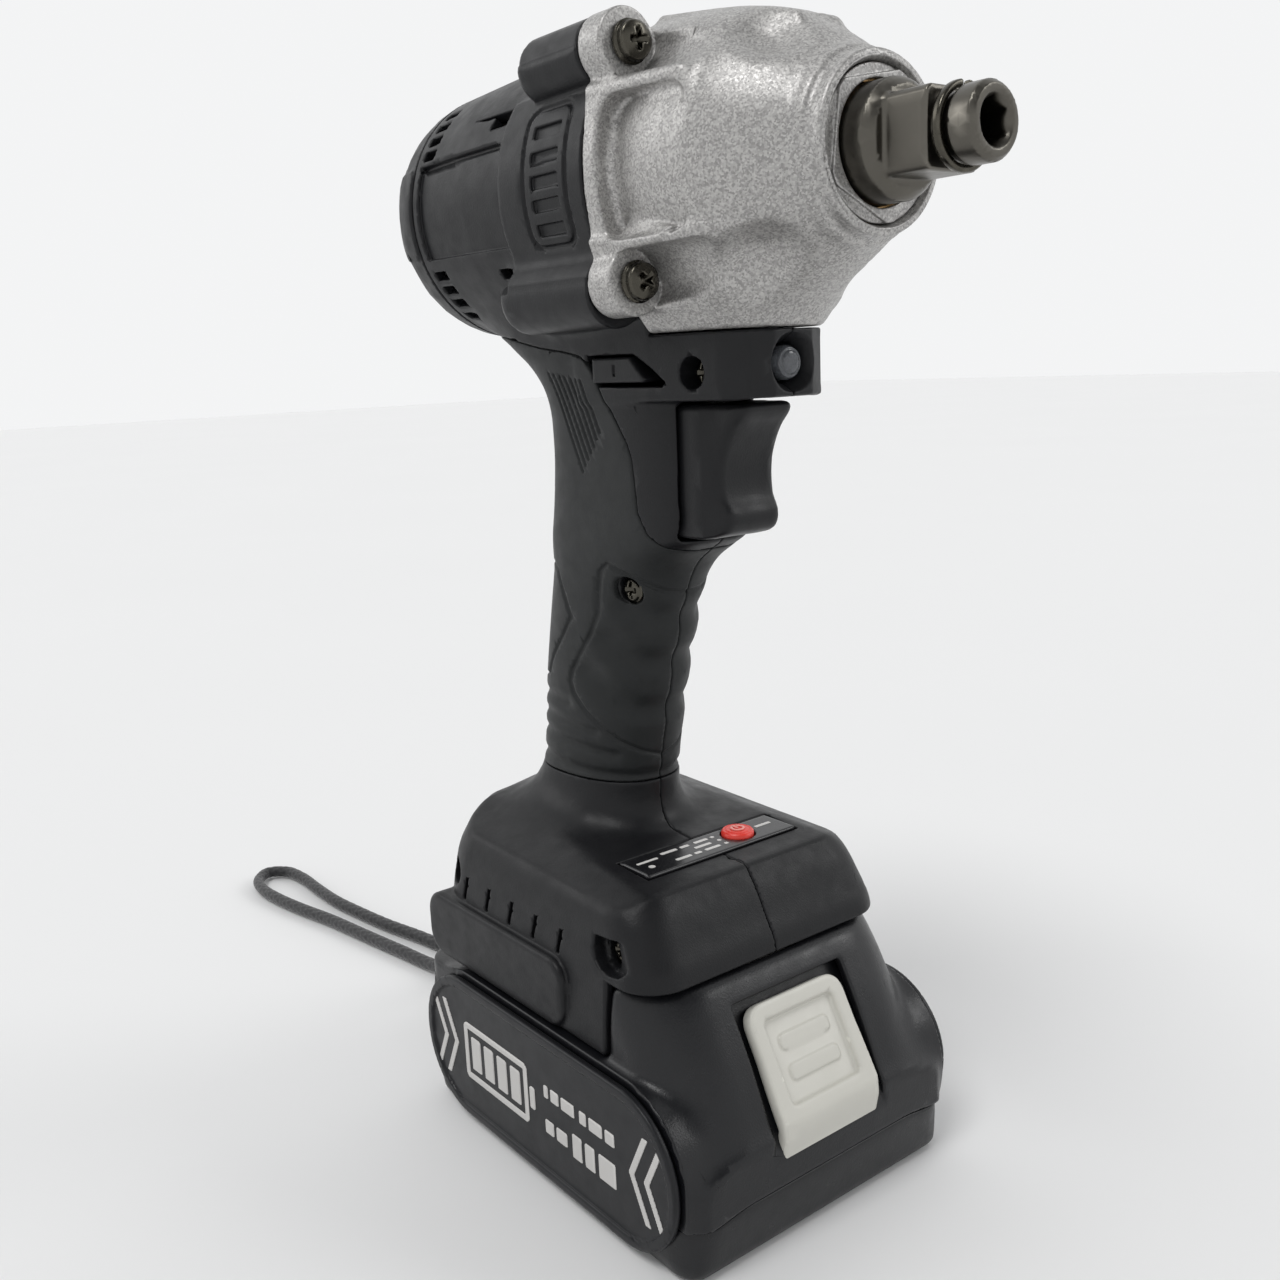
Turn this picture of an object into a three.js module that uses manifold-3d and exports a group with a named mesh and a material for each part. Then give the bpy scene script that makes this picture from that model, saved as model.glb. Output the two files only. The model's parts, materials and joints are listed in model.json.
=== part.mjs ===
// Cordless impact wrench with a half-inch square drive and a slide-on battery pack.
// Millimetres, +X forward along the drive, +Y to the tool's left, +Z up.
// The origin is on the battery's resting face, on the mid-plane, below the grip.

import * as THREE from 'three';
import { mergeVertices } from 'three/addons/utils/BufferGeometryUtils.js';
import Module from 'manifold-3d';

const wasm = await Module();
wasm.setup();

// ---------------------------------------------------------------- driving dimensions

const gap = 0.3; // clearance between pieces that touch
const wall = 2.4; // moulded plastic wall

// Head, along the drive axis
const driveHeight = 210; // height of the drive axis above the resting face
const flangeX = 24.8; // joint between the plastic barrel and the metal case
const barrelRearX = -41.3; // the rear cap starts here
const barrelRadius = 28.5;
const barrelBore = 25.9; // inside radius of the barrel round the gear train
const motorBore = 25; // inside radius of the barrel round the motor
const noseX = 71.5; // front face of the metal case
const upperBoss = { y: 22.1, z: 21.2 }; // case screw bosses, from the drive axis
const lowerBoss = { y: 22.5, z: -19.5 };
const bossRadius = 6.2;
const caseScrewHeadX = 32;

// Square drive
const squareDrive = 12.7;
const anvilTipX = 94.3;
const hexSocketFlats = 6.35;
const anvilJournal = 9.8;

// Planetary gears
const gearModule = 0.85;
const sunTeeth = 12;
const planetTeeth = 15;
const ringTeeth = 42;
const pressureAngle = THREE.MathUtils.degToRad(25);
const gearBackX = -7.6;
const gearFrontX = 0;

// Grip, switch and lamp
const lampFrontX = 49.6;
const lampBottomZ = 168.5;
const lampTopZ = 181.2;
const lampHalfWidth = 14.5;
const lampAxisZ = 175;
const lampRadius = 3.4;
const triggerBackX = 15;
const triggerHalfWidth = 9.2;
const triggerBottomZ = 141.2;
const triggerTopZ = 167.9;
const plungerZ = 156;
const leverBottomZ = 172.2;
const leverTopZ = 177.4;

// Foot that takes the battery
const footTopZ = 72;
const footSideBottomZ = 38.3; // lower edge of the foot's side walls
const footFrontBottomZ = 54.3; // lower edge of the foot's front wall
const footNoseStartX = 28; // the battery's front block starts here
const footInsideX = -41; // inner face of the foot's rear wall
const panelX = [15, 25.3];
const panelY = [-20.5, 22];
const panelSeatZ = 70.5; // underside of the control panel
const buttonX = 19.6;
const buttonY = 9.5;
const buttonRadius = 3.8;

// Battery
const packRearX = -46;
const packFrontX = 57;
const packHalfWidth = 37.5;
const packSplitZ = 13.5;
const packDeckZ = 36;
const packRailZ = 48;
const plateX = [-42, 54];
const plateZ = [2, 37];
const cellRadius = 9.1;
const cellLength = 65;
const cellPitch = 18.7;
const cellCount = 5;
const cellHeight = 12;
const packMiddleX = 4.7; // middle of the row of cells
const bladeY = [-9, 9]; // terminal blades either side of the middle
const buttonHalfWidth = 15.4;

// ---------------------------------------------------------------- materials

function finish(color, roughness, metalness = 0) {
  return new THREE.MeshStandardMaterial({ color, roughness, metalness });
}

const blackPlastic = finish(0x1d1d20, 0.55);
const rubber = finish(0x17181a, 0.75);
const silverPaint = finish(0xb4b2ae, 0.42, 0.6);
const darkSteel = finish(0x5d5a55, 0.35, 0.9);
const blackSteel = finish(0x2c2b2a, 0.35, 0.85);
const brightSteel = finish(0xa8a8aa, 0.3, 0.95);
const bronze = finish(0x9a7443, 0.4, 0.85);
const clearPlastic = finish(0xd8dde0, 0.1);
const redPlastic = finish(0xd8352a, 0.4);
const whitePlastic = finish(0xe4e1d6, 0.45);
const laminate = finish(0x101012, 0.3);
const circuitBoard = finish(0x1f5a36, 0.5);
const copper = finish(0xb06a3a, 0.4, 0.8);
const cellWrap = finish(0x2f6fb0, 0.4);
const cordFabric = finish(0x141414, 0.85);

// ---------------------------------------------------------------- solids and booleans

// A three.js geometry as a solid whose faces point out.
function solid(geometry) {
  geometry.deleteAttribute('normal');
  geometry.deleteAttribute('uv');
  const merged = mergeVertices(geometry, 1e-4);
  const position = merged.attributes.position;
  const corners = merged.index.array;
  const triangles = [];
  let volume = 0;
  for (let i = 0; i < corners.length; i += 3) {
    const [a, b, c] = corners.subarray(i, i + 3);
    if (a === b || b === c || c === a) continue;
    triangles.push(a, b, c);
    const [p, q, r] = [a, b, c].map((n) => new THREE.Vector3().fromBufferAttribute(position, n));
    volume += p.dot(q.cross(r));
  }
  if (volume < 0) triangles.reverse();
  const vertProperties = new Float32Array(position.array);
  const triVerts = new Uint32Array(triangles);
  return new wasm.Manifold(new wasm.Mesh({ numProp: 3, vertProperties, triVerts }));
}

const join = (first, ...rest) => rest.reduce((sum, next) => sum.add(next), first);
const cut = (first, ...rest) => rest.reduce((left, next) => left.subtract(next), first);
const common = (first, second) => first.intersect(second);

// Puts a solid into the scene as a named mesh.
function addPiece(group, name, body, material) {
  const { vertProperties, triVerts } = body.getMesh();
  const geometry = new THREE.BufferGeometry();
  geometry.setAttribute('position', new THREE.BufferAttribute(new Float32Array(vertProperties), 3));
  geometry.setIndex(new THREE.BufferAttribute(new Uint32Array(triVerts), 1));
  geometry.computeVertexNormals();
  const mesh = new THREE.Mesh(geometry, material);
  mesh.name = name;
  group.add(mesh);
  return mesh;
}

// ---------------------------------------------------------------- basic shapes

function box(x, y, z) {
  const geometry = new THREE.BoxGeometry(x[1] - x[0], y[1] - y[0], z[1] - z[0]);
  return solid(geometry.translate((x[0] + x[1]) / 2, (y[0] + y[1]) / 2, (z[0] + z[1]) / 2));
}

// Round bars along one axis; centre gives the other two coordinates.
function barX(span, radius, centre = [0, 0], sides = 16, tip = radius) {
  const geometry = new THREE.CylinderGeometry(tip, radius, span[1] - span[0], sides);
  return solid(geometry.rotateZ(-Math.PI / 2).translate((span[0] + span[1]) / 2, ...centre));
}

function barY(span, radius, centre = [0, 0], sides = 12) {
  const geometry = new THREE.CylinderGeometry(radius, radius, span[1] - span[0], sides);
  return solid(geometry.translate(centre[0], (span[0] + span[1]) / 2, centre[1]));
}

function barZ(span, radius, centre = [0, 0], sides = 16) {
  const geometry = new THREE.CylinderGeometry(radius, radius, span[1] - span[0], sides);
  return solid(geometry.rotateX(Math.PI / 2).translate(...centre, (span[0] + span[1]) / 2));
}

// A profile of [x, radius] points turned about the X axis.
function turned(profile, sides = 24) {
  const points = profile.map(([x, radius]) => new THREE.Vector2(radius, x));
  return solid(new THREE.LatheGeometry(points, sides).rotateZ(-Math.PI / 2));
}

function ringX(span, inner, outer, sides = 20) {
  const [a, b] = span;
  return turned([[a, inner], [b, inner], [b, outer], [a, outer], [a, inner]], sides);
}

function outline(points) {
  return new THREE.Shape(points.map(([u, v]) => new THREE.Vector2(u, v)));
}

function roundedOutline(u, v, radius) {
  const shape = new THREE.Shape();
  const [right, top, quarter] = [u[1] - radius, v[1] - radius, Math.PI / 2];
  shape.absarc(right, v[0] + radius, radius, -quarter, 0);
  shape.absarc(right, top, radius, 0, quarter);
  shape.absarc(u[0] + radius, top, radius, quarter, 2 * quarter);
  shape.absarc(u[0] + radius, v[0] + radius, radius, 2 * quarter, 3 * quarter);
  return shape;
}

// Straight extrusions: the shape's own axes are (y, z), (x, z) or (x, y).
function extruded(axis, shape, span, curveSegments = 6) {
  const depth = span[1] - span[0];
  const geometry = new THREE.ExtrudeGeometry(shape, { depth, bevelEnabled: false, curveSegments });
  if (axis === 'x') {
    const turn = new THREE.Matrix4().makeBasis(
      new THREE.Vector3(0, 1, 0), new THREE.Vector3(0, 0, 1), new THREE.Vector3(1, 0, 0));
    return solid(geometry.applyMatrix4(turn).translate(span[0], 0, 0));
  }
  if (axis === 'y') return solid(geometry.rotateX(Math.PI / 2).translate(0, span[1], 0));
  return solid(geometry.translate(0, 0, span[0]));
}

// A skin over rings of equal point counts, closed by a flat fan at each end.
function loft(rings) {
  const count = rings[0].length;
  const points = rings.flat();
  const ends = [rings[0], rings.at(-1)].map((ring) => {
    const middle = new THREE.Vector3();
    ring.forEach((point) => middle.addScaledVector(point, 1 / count));
    return points.push(middle) - 1;
  });
  const triangles = [];
  const last = (rings.length - 1) * count;
  for (let i = 0; i < count; i += 1) {
    const next = (i + 1) % count;
    triangles.push(ends[0], next, i, ends[1], last + i, last + next);
    for (let base = 0; base < last; base += count) {
      triangles.push(base + i, base + next, base + count + next);
      triangles.push(base + i, base + count + next, base + count + i);
    }
  }
  const geometry = new THREE.BufferGeometry().setFromPoints(points);
  return solid(geometry.setIndex(triangles));
}

// A coil spring round the Z axis, from z[0] to z[1].
function coil(z, radius, wire, turns, stepsPerTurn = 12) {
  const steps = Math.round(turns * stepsPerTurn);
  const path = [];
  for (let i = 0; i <= steps; i += 1) {
    const angle = (i / stepsPerTurn) * 2 * Math.PI;
    const height = THREE.MathUtils.lerp(z[0] + wire, z[1] - wire, i / steps);
    path.push(new THREE.Vector3(radius * Math.cos(angle), radius * Math.sin(angle), height));
  }
  return tube(path, wire, steps, 5);
}

// A tube of round section along a smooth path.
function tube(path, radius, steps, sides) {
  const section = new THREE.Shape();
  for (let i = 0; i < sides; i += 1) {
    const angle = (i / sides) * 2 * Math.PI;
    const move = i === 0 ? 'moveTo' : 'lineTo';
    section[move](radius * Math.cos(angle), radius * Math.sin(angle));
  }
  const extrudePath = new THREE.CatmullRomCurve3(path, false, 'centripetal');
  return solid(new THREE.ExtrudeGeometry(section, { steps, extrudePath }));
}

// ---------------------------------------------------------------- scene groups

const tool = new THREE.Group();
const head = new THREE.Group();
head.position.z = driveHeight;
const battery = new THREE.Group();
tool.add(head, battery);

// Shapes below are made round the drive axis; this lifts a copy to the tool's own frame.
const lifted = (body) => body.translate([0, 0, driveHeight]);

const bossCentres = [-1, 1].flatMap((side) =>
  [upperBoss, lowerBoss].map((boss) => [side * boss.y, boss.z]));

// ---------------------------------------------------------------- housing

// Egg-shaped section of the grip: blunt at the back, slimmer towards the front.
function gripRing(z, frontX, rearX, halfWidth, sides) {
  const middle = rearX + 0.42 * (frontX - rearX);
  const ring = [];
  for (let i = 0; i < sides; i += 1) {
    const angle = (i / sides) * 2 * Math.PI;
    const reach = Math.cos(angle) > 0 ? frontX - middle : middle - rearX;
    ring.push(new THREE.Vector3(middle + reach * Math.cos(angle), halfWidth * Math.sin(angle), z));
  }
  return ring;
}

// Rounded rectangle at one height, with its own rear and front corner radius.
function levelRing(z, rearX, frontX, halfWidth, rearCorner, frontCorner, cornerSteps) {
  const corners = [
    [frontX, 1, frontCorner, 0], [rearX, 1, rearCorner, 1],
    [rearX, -1, rearCorner, 2], [frontX, -1, frontCorner, 3],
  ];
  const ring = [];
  for (const [edgeX, side, radius, quarter] of corners) {
    const x = edgeX === frontX ? frontX - radius : rearX + radius;
    for (let i = 0; i <= cornerSteps; i += 1) {
      const angle = (quarter + i / cornerSteps) * Math.PI / 2;
      const y = side * (halfWidth - radius) + radius * Math.sin(angle);
      ring.push(new THREE.Vector3(x + radius * Math.cos(angle), y, z));
    }
  }
  return ring;
}

const gripSides = 18;
const innerSides = 10; // hidden inner skins are plainer

// Grip sections from the foot up to the barrel: height, front, rear, half width.
const gripSections = [
  [78, 6, -33, 14], [86, 5.2, -31.3, 13.3], [96, 6.7, -29.8, 13.4], [108, 9.8, -27.8, 13.5],
  [122, 14.2, -25, 13.5], [132, 18.3, -23, 13.5], [138, 26, -21.4, 13.4], [142, 30, -20.5, 13.6],
  [160, 30.5, -18, 14], [171, 30, -19.5, 14.5], [178, 26, -26, 15.5], [188, 24, -40, 17],
];

// Foot sections: height, rear, front, half width, rear and front corner radius.
const footSections = [
  [footSideBottomZ, -44, 41.5, 36, 14, 12], [52, -43.5, 41.3, 35, 14, 12],
  [60, -42.5, 38.4, 34, 15, 12], [68, -41, 35.2, 32.5, 16, 11], [footTopZ, -39.5, 33.3, 27, 16, 8],
  [74, -37, 14, 22, 14, 8], [78, -34.5, 8, 16.5, 13, 10], [83, -32, 5.4, 13.6, 12, 10],
];

function gripSolid(inset, sides) {
  return loft(gripSections.map(([z, frontX, rearX, halfWidth]) =>
    gripRing(z, frontX - inset, rearX + inset, halfWidth - inset, sides)));
}

function footSolid(inset, cornerSteps) {
  return loft(footSections.map(([z, rearX, frontX, halfWidth, rearCorner, frontCorner]) =>
    levelRing(inset && z > footSideBottomZ ? z - inset : z - 2 * Math.sign(inset), rearX + inset,
      frontX - inset, halfWidth - inset, rearCorner - inset, frontCorner - inset, cornerSteps)));
}

const barrelRearRadius = 27.1;
const barrelOuter = lifted(turned([
  [barrelRearX, 0], [barrelRearX, barrelRearRadius], [-20, 28], [flangeX, barrelRadius], [flangeX, 0],
]));
const barrelInner = lifted(turned([
  [-60, 0], [-60, motorBore], [-19, motorBore], [-19, barrelBore], [30, barrelBore], [30, 0],
], 24));

// The lamp block runs back from the lamp to the grip and carries the metal case's underside.
function lampOutline(inset) {
  const back = 2;
  const front = lampFrontX - inset;
  const side = lampHalfWidth - inset;
  const frontSide = 11.2 - inset;
  return outline([
    [back, -side], [24, -side], [front - 5, -frontSide - 0.8], [front - 1.2, -frontSide + 2.2],
    [front, -frontSide + 5], [front, frontSide - 5], [front - 1.2, frontSide - 2.2],
    [front - 5, frontSide + 0.8], [24, side], [back, side],
  ]);
}

// The metal case stands here, so no plastic reaches in
const caseRoom = box([flangeX, 80], [-35, 35], [lampTopZ, 250]);
const lampOuter = cut(
  extruded('z', lampOutline(0), [lampBottomZ, 190]),
  caseRoom);
const lampInner = cut(
  extruded('z', lampOutline(wall), [lampBottomZ + wall, lampTopZ - wall]),
  box([lampFrontX - 7.5, 60], [-30, 30], [160, 190]));

const bosses = bossCentres.map((centre) => lifted(barX([6, flangeX], bossRadius, centre, 12)));
const bossRoots = bossCentres.map((centre) => lifted(barX([2, 6.5], 4, centre, 12, bossRadius)));
const bossBores = bossCentres.map((centre) => lifted(barX([9, 30], 1.9, centre, 8)));

// Housing screws join the halves along Y: [x, z, right face, left face]
const housingScrews = [
  [35.5, 173.8, -12.8, 11], [9, 129, -12.4, 10], [27.5, 59.6, -33, 33], [-33, 60, -33, 33],
];
const screwShank = 1.5;
const screwHead = 2.8;
const headDepth = 4.5; // how far in the screw heads sit

const seatOf = (rightY) => rightY + headDepth;
const pillars = housingScrews.map(([x, z, rightY, leftY]) => barY([rightY, leftY], 4.2, [x, z]));
const screwHoles = housingScrews.map(([x, z, rightY, leftY]) => join(
  barY([-60, seatOf(rightY)], screwHead + gap, [x, z]),
  barY([seatOf(rightY) - 0.1, leftY - 5], screwShank + 0.4, [x, z], 8)));

const footShell = cut(
  footSolid(0, 3),
  footSolid(wall, 1),
  box([footNoseStartX, 60], [-50, 50], [20, footFrontBottomZ]));

// Ledges inside the foot's side walls carry the battery's rails.
const ledges = [-1, 1].map((side) => box(
  [-39, 26], [Math.min(side * 28, side * 34), Math.max(side * 28, side * 34)], [40, 43.4]));

// Raised bands outside the foot's side walls, above the battery's side plates.
const bands = [-1, 1].map((side) => extruded('y', roundedOutline([-38, 15], [footSideBottomZ + 0.1, 54], 4),
  [Math.min(side * 33.5, side * 37), Math.max(side * 33.5, side * 37)], 3));

// Openings through the barrel's wall: four cooling slots and one clip window above and below the
// middle of each side. Each is [middle X, length, height, degrees up from the side].
const barrelOpenings = [[-7.3, 6.6, 3.2, 31.5], [-7.3, 6.6, 3, -32]];
for (let i = 0; i < 4; i += 1) {
  barrelOpenings.push([-36, 5, 2.2, 26 + i * 7.7], [-36, 5, 2.2, -29.5 - i * 8]);
}

function barrelSlots() {
  return [-1, 1].flatMap((side) => barrelOpenings.map(([x, length, height, degrees]) => {
    const geometry = new THREE.BoxGeometry(length, 12, height).translate(x, side * barrelRadius, 0);
    return lifted(solid(geometry.rotateX(side * THREE.MathUtils.degToRad(degrees))));
  }));
}

// Short upright slots along each side of the foot

function footSlots() {
  const slots = [];
  for (const side of [-1, 1]) {
    for (let i = 0; i < 5; i += 1) {
      const x = -27 + i * 9.6;
      const span = side < 0 ? [-40, -28] : [28, 40];
      slots.push(box([x - 0.7, x + 0.7], span, [54.8, 60.2]));
    }
  }
  return slots;
}

const housingSolid = join(barrelOuter, gripSolid(0, gripSides), lampOuter, ...bosses, ...bossRoots);
const upperShell = cut(housingSolid, barrelInner, gripSolid(wall, innerSides), lampInner);
const packClearance = box([footInsideX, footNoseStartX], [-31.5, 31.5], [30, packRailZ + 2]);
const motorRoom = lifted(barX([-46, 30], motorBore - 1));
const trimmed = cut(join(upperShell, cut(footShell, gripSolid(wall, innerSides))), motorRoom);
const footRoom = cut(footSolid(wall, 1), box([-60, 60], [-50, 50], [76, 90]));
const pillarsInside = common(join(...pillars), join(housingSolid, footSolid(0, 3)));
const shell = join(cut(trimmed, footRoom), ...ledges, ...bands, pillarsInside);

const triggerWindow = box([11, 40], [-triggerHalfWidth - gap, triggerHalfWidth + gap],
  [triggerBottomZ - 0.4, triggerTopZ + 0.4]);
const leverWindow = extruded('y', outline([[5.5, leverBottomZ - gap], [25, leverBottomZ - gap],
  [28, leverBottomZ + 2.5], [24, leverTopZ + gap], [5.5, leverTopZ + gap]]), [-40, 40]);
const panelRecess = box([panelX[0] - gap, panelX[1] + gap], [panelY[0] - gap, panelY[1] + gap],
  [panelSeatZ - gap, 80]);
const buttonHole = barZ([60, 80], buttonRadius + gap, [buttonX, buttonY]);
const lampHole = barX([40, 60], lampRadius + 0.4, [0, lampAxisZ]);
const lampWire = barX([38, 45], 2, [0, lampAxisZ], 8);

const housing = cut(shell, caseRoom, triggerWindow, leverWindow, panelRecess, buttonHole, lampHole, lampWire,
  packClearance, ...barrelSlots(), ...footSlots(), ...screwHoles, ...bossBores);

const rightSide = box([-120, 120], [-60, -gap / 2], [0, 260]);
const leftSide = box([-120, 120], [gap / 2, 60], [0, 260]);
addPiece(tool, 'right_housing', common(housing, rightSide), blackPlastic);
addPiece(tool, 'left_housing', common(housing, leftSide), blackPlastic);

housingScrews.forEach(([x, z, rightY, leftY], i) => {
  const length = leftY - 5.6 - seatOf(rightY);
  const head = cut(barY([-2.4, -0.1], screwHead, [0, 0]), box([-0.6, 0.6], [-3, -1.4], [-1.8, 1.8]));
  const screw = addPiece(tool, `housing_screw_${i + 1}`,
    join(head, barY([-0.2, length], screwShank, [0, 0], 8)), blackSteel);
  screw.position.set(x, seatOf(rightY) - 0.2, z);
});

// ---------------------------------------------------------------- rear cap

const capRearX = -53.2;
const capSeatX = -50.2;
const capFrontX = barrelRearX - gap;
const rearCap = join(
  cut(
    turned([
      [capRearX, 0], [capRearX, 22], [-51.6, 24.8], [-47.3, 26.1], [capFrontX, barrelRearRadius],
      [capFrontX, 0],
    ]),
    turned([[capSeatX, 0], [capSeatX, 20.5], [-47, 23], [capFrontX + 0.2, 24.3], [capFrontX + 0.2, 0]])),
  ringX([capSeatX - 0.5, -45.8], 7.4, 9.4, 16));
addPiece(head, 'rear_cap', rearCap, blackPlastic);

// ---------------------------------------------------------------- metal hammer case

const caseBody = join(
  turned([
    [flangeX + gap, 0], [flangeX + gap, 28.7], [36, 28.4], [44, 27.2], [52, 24.6], [61, 20], [67, 16.4],
    [68.4, 15.2], [noseX, 15], [noseX, 0],
  ], 32),
  ...bossCentres.map((centre) => barX([flangeX + gap, caseScrewHeadX], bossRadius, centre, 12)),
  extruded('x', outline([[-13, -29], [13, -29], [11, -20], [-11, -20]]), [29, 48]));
const underside = box([0, 80], [-30, 30], [-50, lampTopZ - driveHeight + gap]);
const spigot = ringX([1.2, flangeX + 4], 23.4, barrelBore - gap, 28);
const caseBore = turned([
  [0, 0], [0, 23.4], [44, 23.4], [50.1, 15.5], [50.1, 12.9], [70.4, 12.9], [70.4, 12.9], [75, 12.9],
  [75, 0],
]);
const driverPaths = bossCentres.map((centre) => barX([caseScrewHeadX, 60], 4.4, centre, 12));
const caseScrewHoles = bossCentres.map((centre) => barX([20, caseScrewHeadX + 1], 2.3, centre, 8));
// Hollow at the side of the case, between its screws
const sidePockets = [-1, 1].map((side) => extruded('x', outline([
  [side * 26.2, -11], [side * 40, -13], [side * 40, 13], [side * 26.2, 12]]), [flangeX + 5, 44]));
const hammerCase = cut(join(caseBody, spigot), caseBore, underside, ...driverPaths, ...caseScrewHoles,
  ...sidePockets);
addPiece(head, 'hammer_case', hammerCase, silverPaint);

bossCentres.forEach(([y, z], i) => {
  const headStart = caseScrewHeadX + 0.3;
  const recess = join(box([headStart + 2, headStart + 5], [-0.6, 0.6], [-2, 2]),
    box([headStart + 2, headStart + 5], [-2, 2], [-0.6, 0.6]));
  const screw = addPiece(head, `case_screw_${i + 1}`,
    join(cut(barX([headStart, headStart + 3.6], 3.6, [0, 0], 12), recess),
      barX([10, headStart + 0.1], screwShank, [0, 0], 8)), blackSteel);
  screw.position.set(0, y, z);
});

// ---------------------------------------------------------------- anvil and hammer

const squareHalf = squareDrive / 2;
const hexRadius = hexSocketFlats / 2 / Math.cos(Math.PI / 6);
const square = common(
  box([74, 91], [-squareHalf, squareHalf], [-squareHalf, squareHalf]),
  turned([
    [70, 0], [70, anvilJournal], [76.4, anvilJournal], [77.6, 8.4], [84, 8.4], [85.8, 7.4], [91, 7.4],
    [91, 0],
  ]));
const squareBlend = turned([
  [74, 0], [74, anvilJournal], [75.2, anvilJournal], [77.2, 6.3], [80, 6.3], [80, 0],
], 20);
const lugWidth = 9.4;
const anvilLugs = common(
  box([41, 48.4], [-lugWidth / 2, lugWidth / 2], [-21, 21]),
  turned([[40, 0], [40, 20.5], [45.5, 20.5], [49, 17], [49, 0]]));
const anvilStem = turned([
  [41, 0], [41, 10.8], [48.4, 10.8], [48.4, anvilJournal], [75.2, anvilJournal], [75.2, 0],
], 24);
const anvilTip = turned([[80, 0], [80, 5.2], [89.4, 5.2], [89.8, 6.1], [93.6, 6.1], [anvilTipX, 5.4],
  [anvilTipX, 0]], 16);
const ringGroove = ringX([85.8, 92], 5.2, 9.5, 16);
const anvilBore = barX([40, 54], 4.4, [0, 0], 12);
const hexSocket = barX([76, 96], hexRadius, [0, 0], 6);
const anvilSolid = join(cut(square, ringGroove), squareBlend, anvilLugs, anvilStem, anvilTip);
addPiece(head, 'anvil', cut(anvilSolid, anvilBore, hexSocket), darkSteel);

// Split ring in the groove near the drive's end, which holds a socket on
const frictionRing = cut(ringX([86.8, 88.6], 5.6, 7, 16), box([80, 95], [-1, 1], [4, 12]));
addPiece(head, 'friction_ring', frictionRing, blackSteel);

addPiece(head, 'anvil_bushing', ringX([50.6, 69.2], anvilJournal + gap, 12.6, 20), bronze);
addPiece(head, 'nose_seal', ringX([69.6, 71.2], anvilJournal + gap, 12.6, 20), rubber);
addPiece(head, 'thrust_washer', ringX([48.8, 49.7], anvilJournal + gap, 15, 20), brightSteel);

const hammerFaceX = 40.3;
const hammerTravel = 8;
const hammerLugs = common(
  join(box([39, 46.6], [12.6, 21], [-6.5, 6.5]), box([39, 46.6], [-21, -12.6], [-6.5, 6.5])),
  turned([[38, 0], [38, 20.5], [45, 20.5], [47, 18.5], [47, 0]]));
const ballRadius = 2.6;
const ballX = 27;
const ballOrbit = 8.4;
const ballGrooveRadius = ballRadius + 0.45;
const ballAt = (side, radius, sides) => solid(
  new THREE.SphereGeometry(radius, sides, 6).translate(ballX, side * ballOrbit, 0));
const ballRoom = [-1, 1].map((side) => ballAt(side, ballGrooveRadius, 8));
const ballGroove = (span) => [-1, 1].map((side) => barX(span, ballGrooveRadius, [side * ballOrbit, 0], 8));
const hammerGrooves = ballGroove([ballX, ballX + hammerTravel + ballGrooveRadius]);
const camGrooves = ballGroove([ballX - 12, ballX]);
const hammerBody = turned([
  [19, 11.3], [33, 11.3], [33, 19], [19, 19], [19, 21.2], [21, 22], [39.4, 22], [hammerFaceX, 21],
  [hammerFaceX, 8.4], [16, 8.4], [16, 11.3], [19, 11.3],
], 24);
const hammer = cut(join(hammerBody, hammerLugs), ...ballRoom, ...hammerGrooves);
addPiece(head, 'hammer', hammer, darkSteel);

const camshaftBody = turned([
  [gearBackX - 4, 6.2], [gearBackX - 0.3, 6.2], [gearBackX - 0.3, 15.5], [gearBackX - 3.2, 15.5],
  [gearBackX - 3.2, 8.5], [gearBackX - 6.6, 8.5], [gearBackX - 6.6, 6.2], [gearBackX - 4, 6.2],
], 20);
const camshaftFront = turned([
  [0.4, 0], [0.4, 16.4], [4.4, 16.4], [4.4, 11], [5.6, 11], [5.6, 8], [40.8, 8], [40.8, 4.1], [53, 4.1],
  [53, 0],
], 20);
// Posts above and below the planets tie the carrier's two plates together.
const carrierPosts = [[8.4, 13.5], [-13.5, -8.4]].map((span) => box([gearBackX - 1, 1], [-7, 7], span));
const planetDistance = (gearModule * (sunTeeth + planetTeeth)) / 2;
const pinRadius = 2;
const pinHoles = [-1, 1].map((side) => barX([-20, 4], pinRadius + 0.4, [side * planetDistance, 0], 8));
const camshaft = cut(join(camshaftBody, camshaftFront, ...carrierPosts), ...pinHoles, ...ballRoom,
  ...camGrooves);
addPiece(head, 'camshaft', camshaft, brightSteel);
[-1, 1].forEach((side, i) => {
  addPiece(head, `hammer_ball_${i + 1}`, ballAt(side, ballRadius, 10), brightSteel);
});

// The coil is made round Z and turned to lie along the drive axis.
const hammerSpring = addPiece(head, 'hammer_spring', coil([5.2, 32.6], 15.1, 1.5, 3.6, 10), blackSteel);
hammerSpring.rotation.y = Math.PI / 2;

// ---------------------------------------------------------------- planetary gears

const involute = (angle) => Math.tan(angle) - angle;

// Half the angle that a tooth fills at one radius.
function toothHalfAngle(teeth, radius, thickness) {
  const pitchRadius = (gearModule * teeth) / 2;
  const baseRadius = pitchRadius * Math.cos(pressureAngle);
  const angle = radius > baseRadius ? Math.acos(baseRadius / radius) : 0;
  return thickness / (2 * pitchRadius) + involute(pressureAngle) - involute(angle);
}

// Outline with a tooth centred on angle 0. The flank lists radii from root to tip, and the
// thickness is measured on the pitch circle.
function gearOutline(teeth, flank, thickness) {
  const points = [];
  for (let i = 0; i < teeth; i += 1) {
    const centre = (i / teeth) * 2 * Math.PI;
    for (const radius of flank) {
      const angle = centre - toothHalfAngle(teeth, radius, thickness);
      points.push([radius * Math.cos(angle), radius * Math.sin(angle)]);
    }
    for (const radius of [...flank].reverse()) {
      const angle = centre + toothHalfAngle(teeth, radius, thickness);
      points.push([radius * Math.cos(angle), radius * Math.sin(angle)]);
    }
  }
  return points;
}

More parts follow.
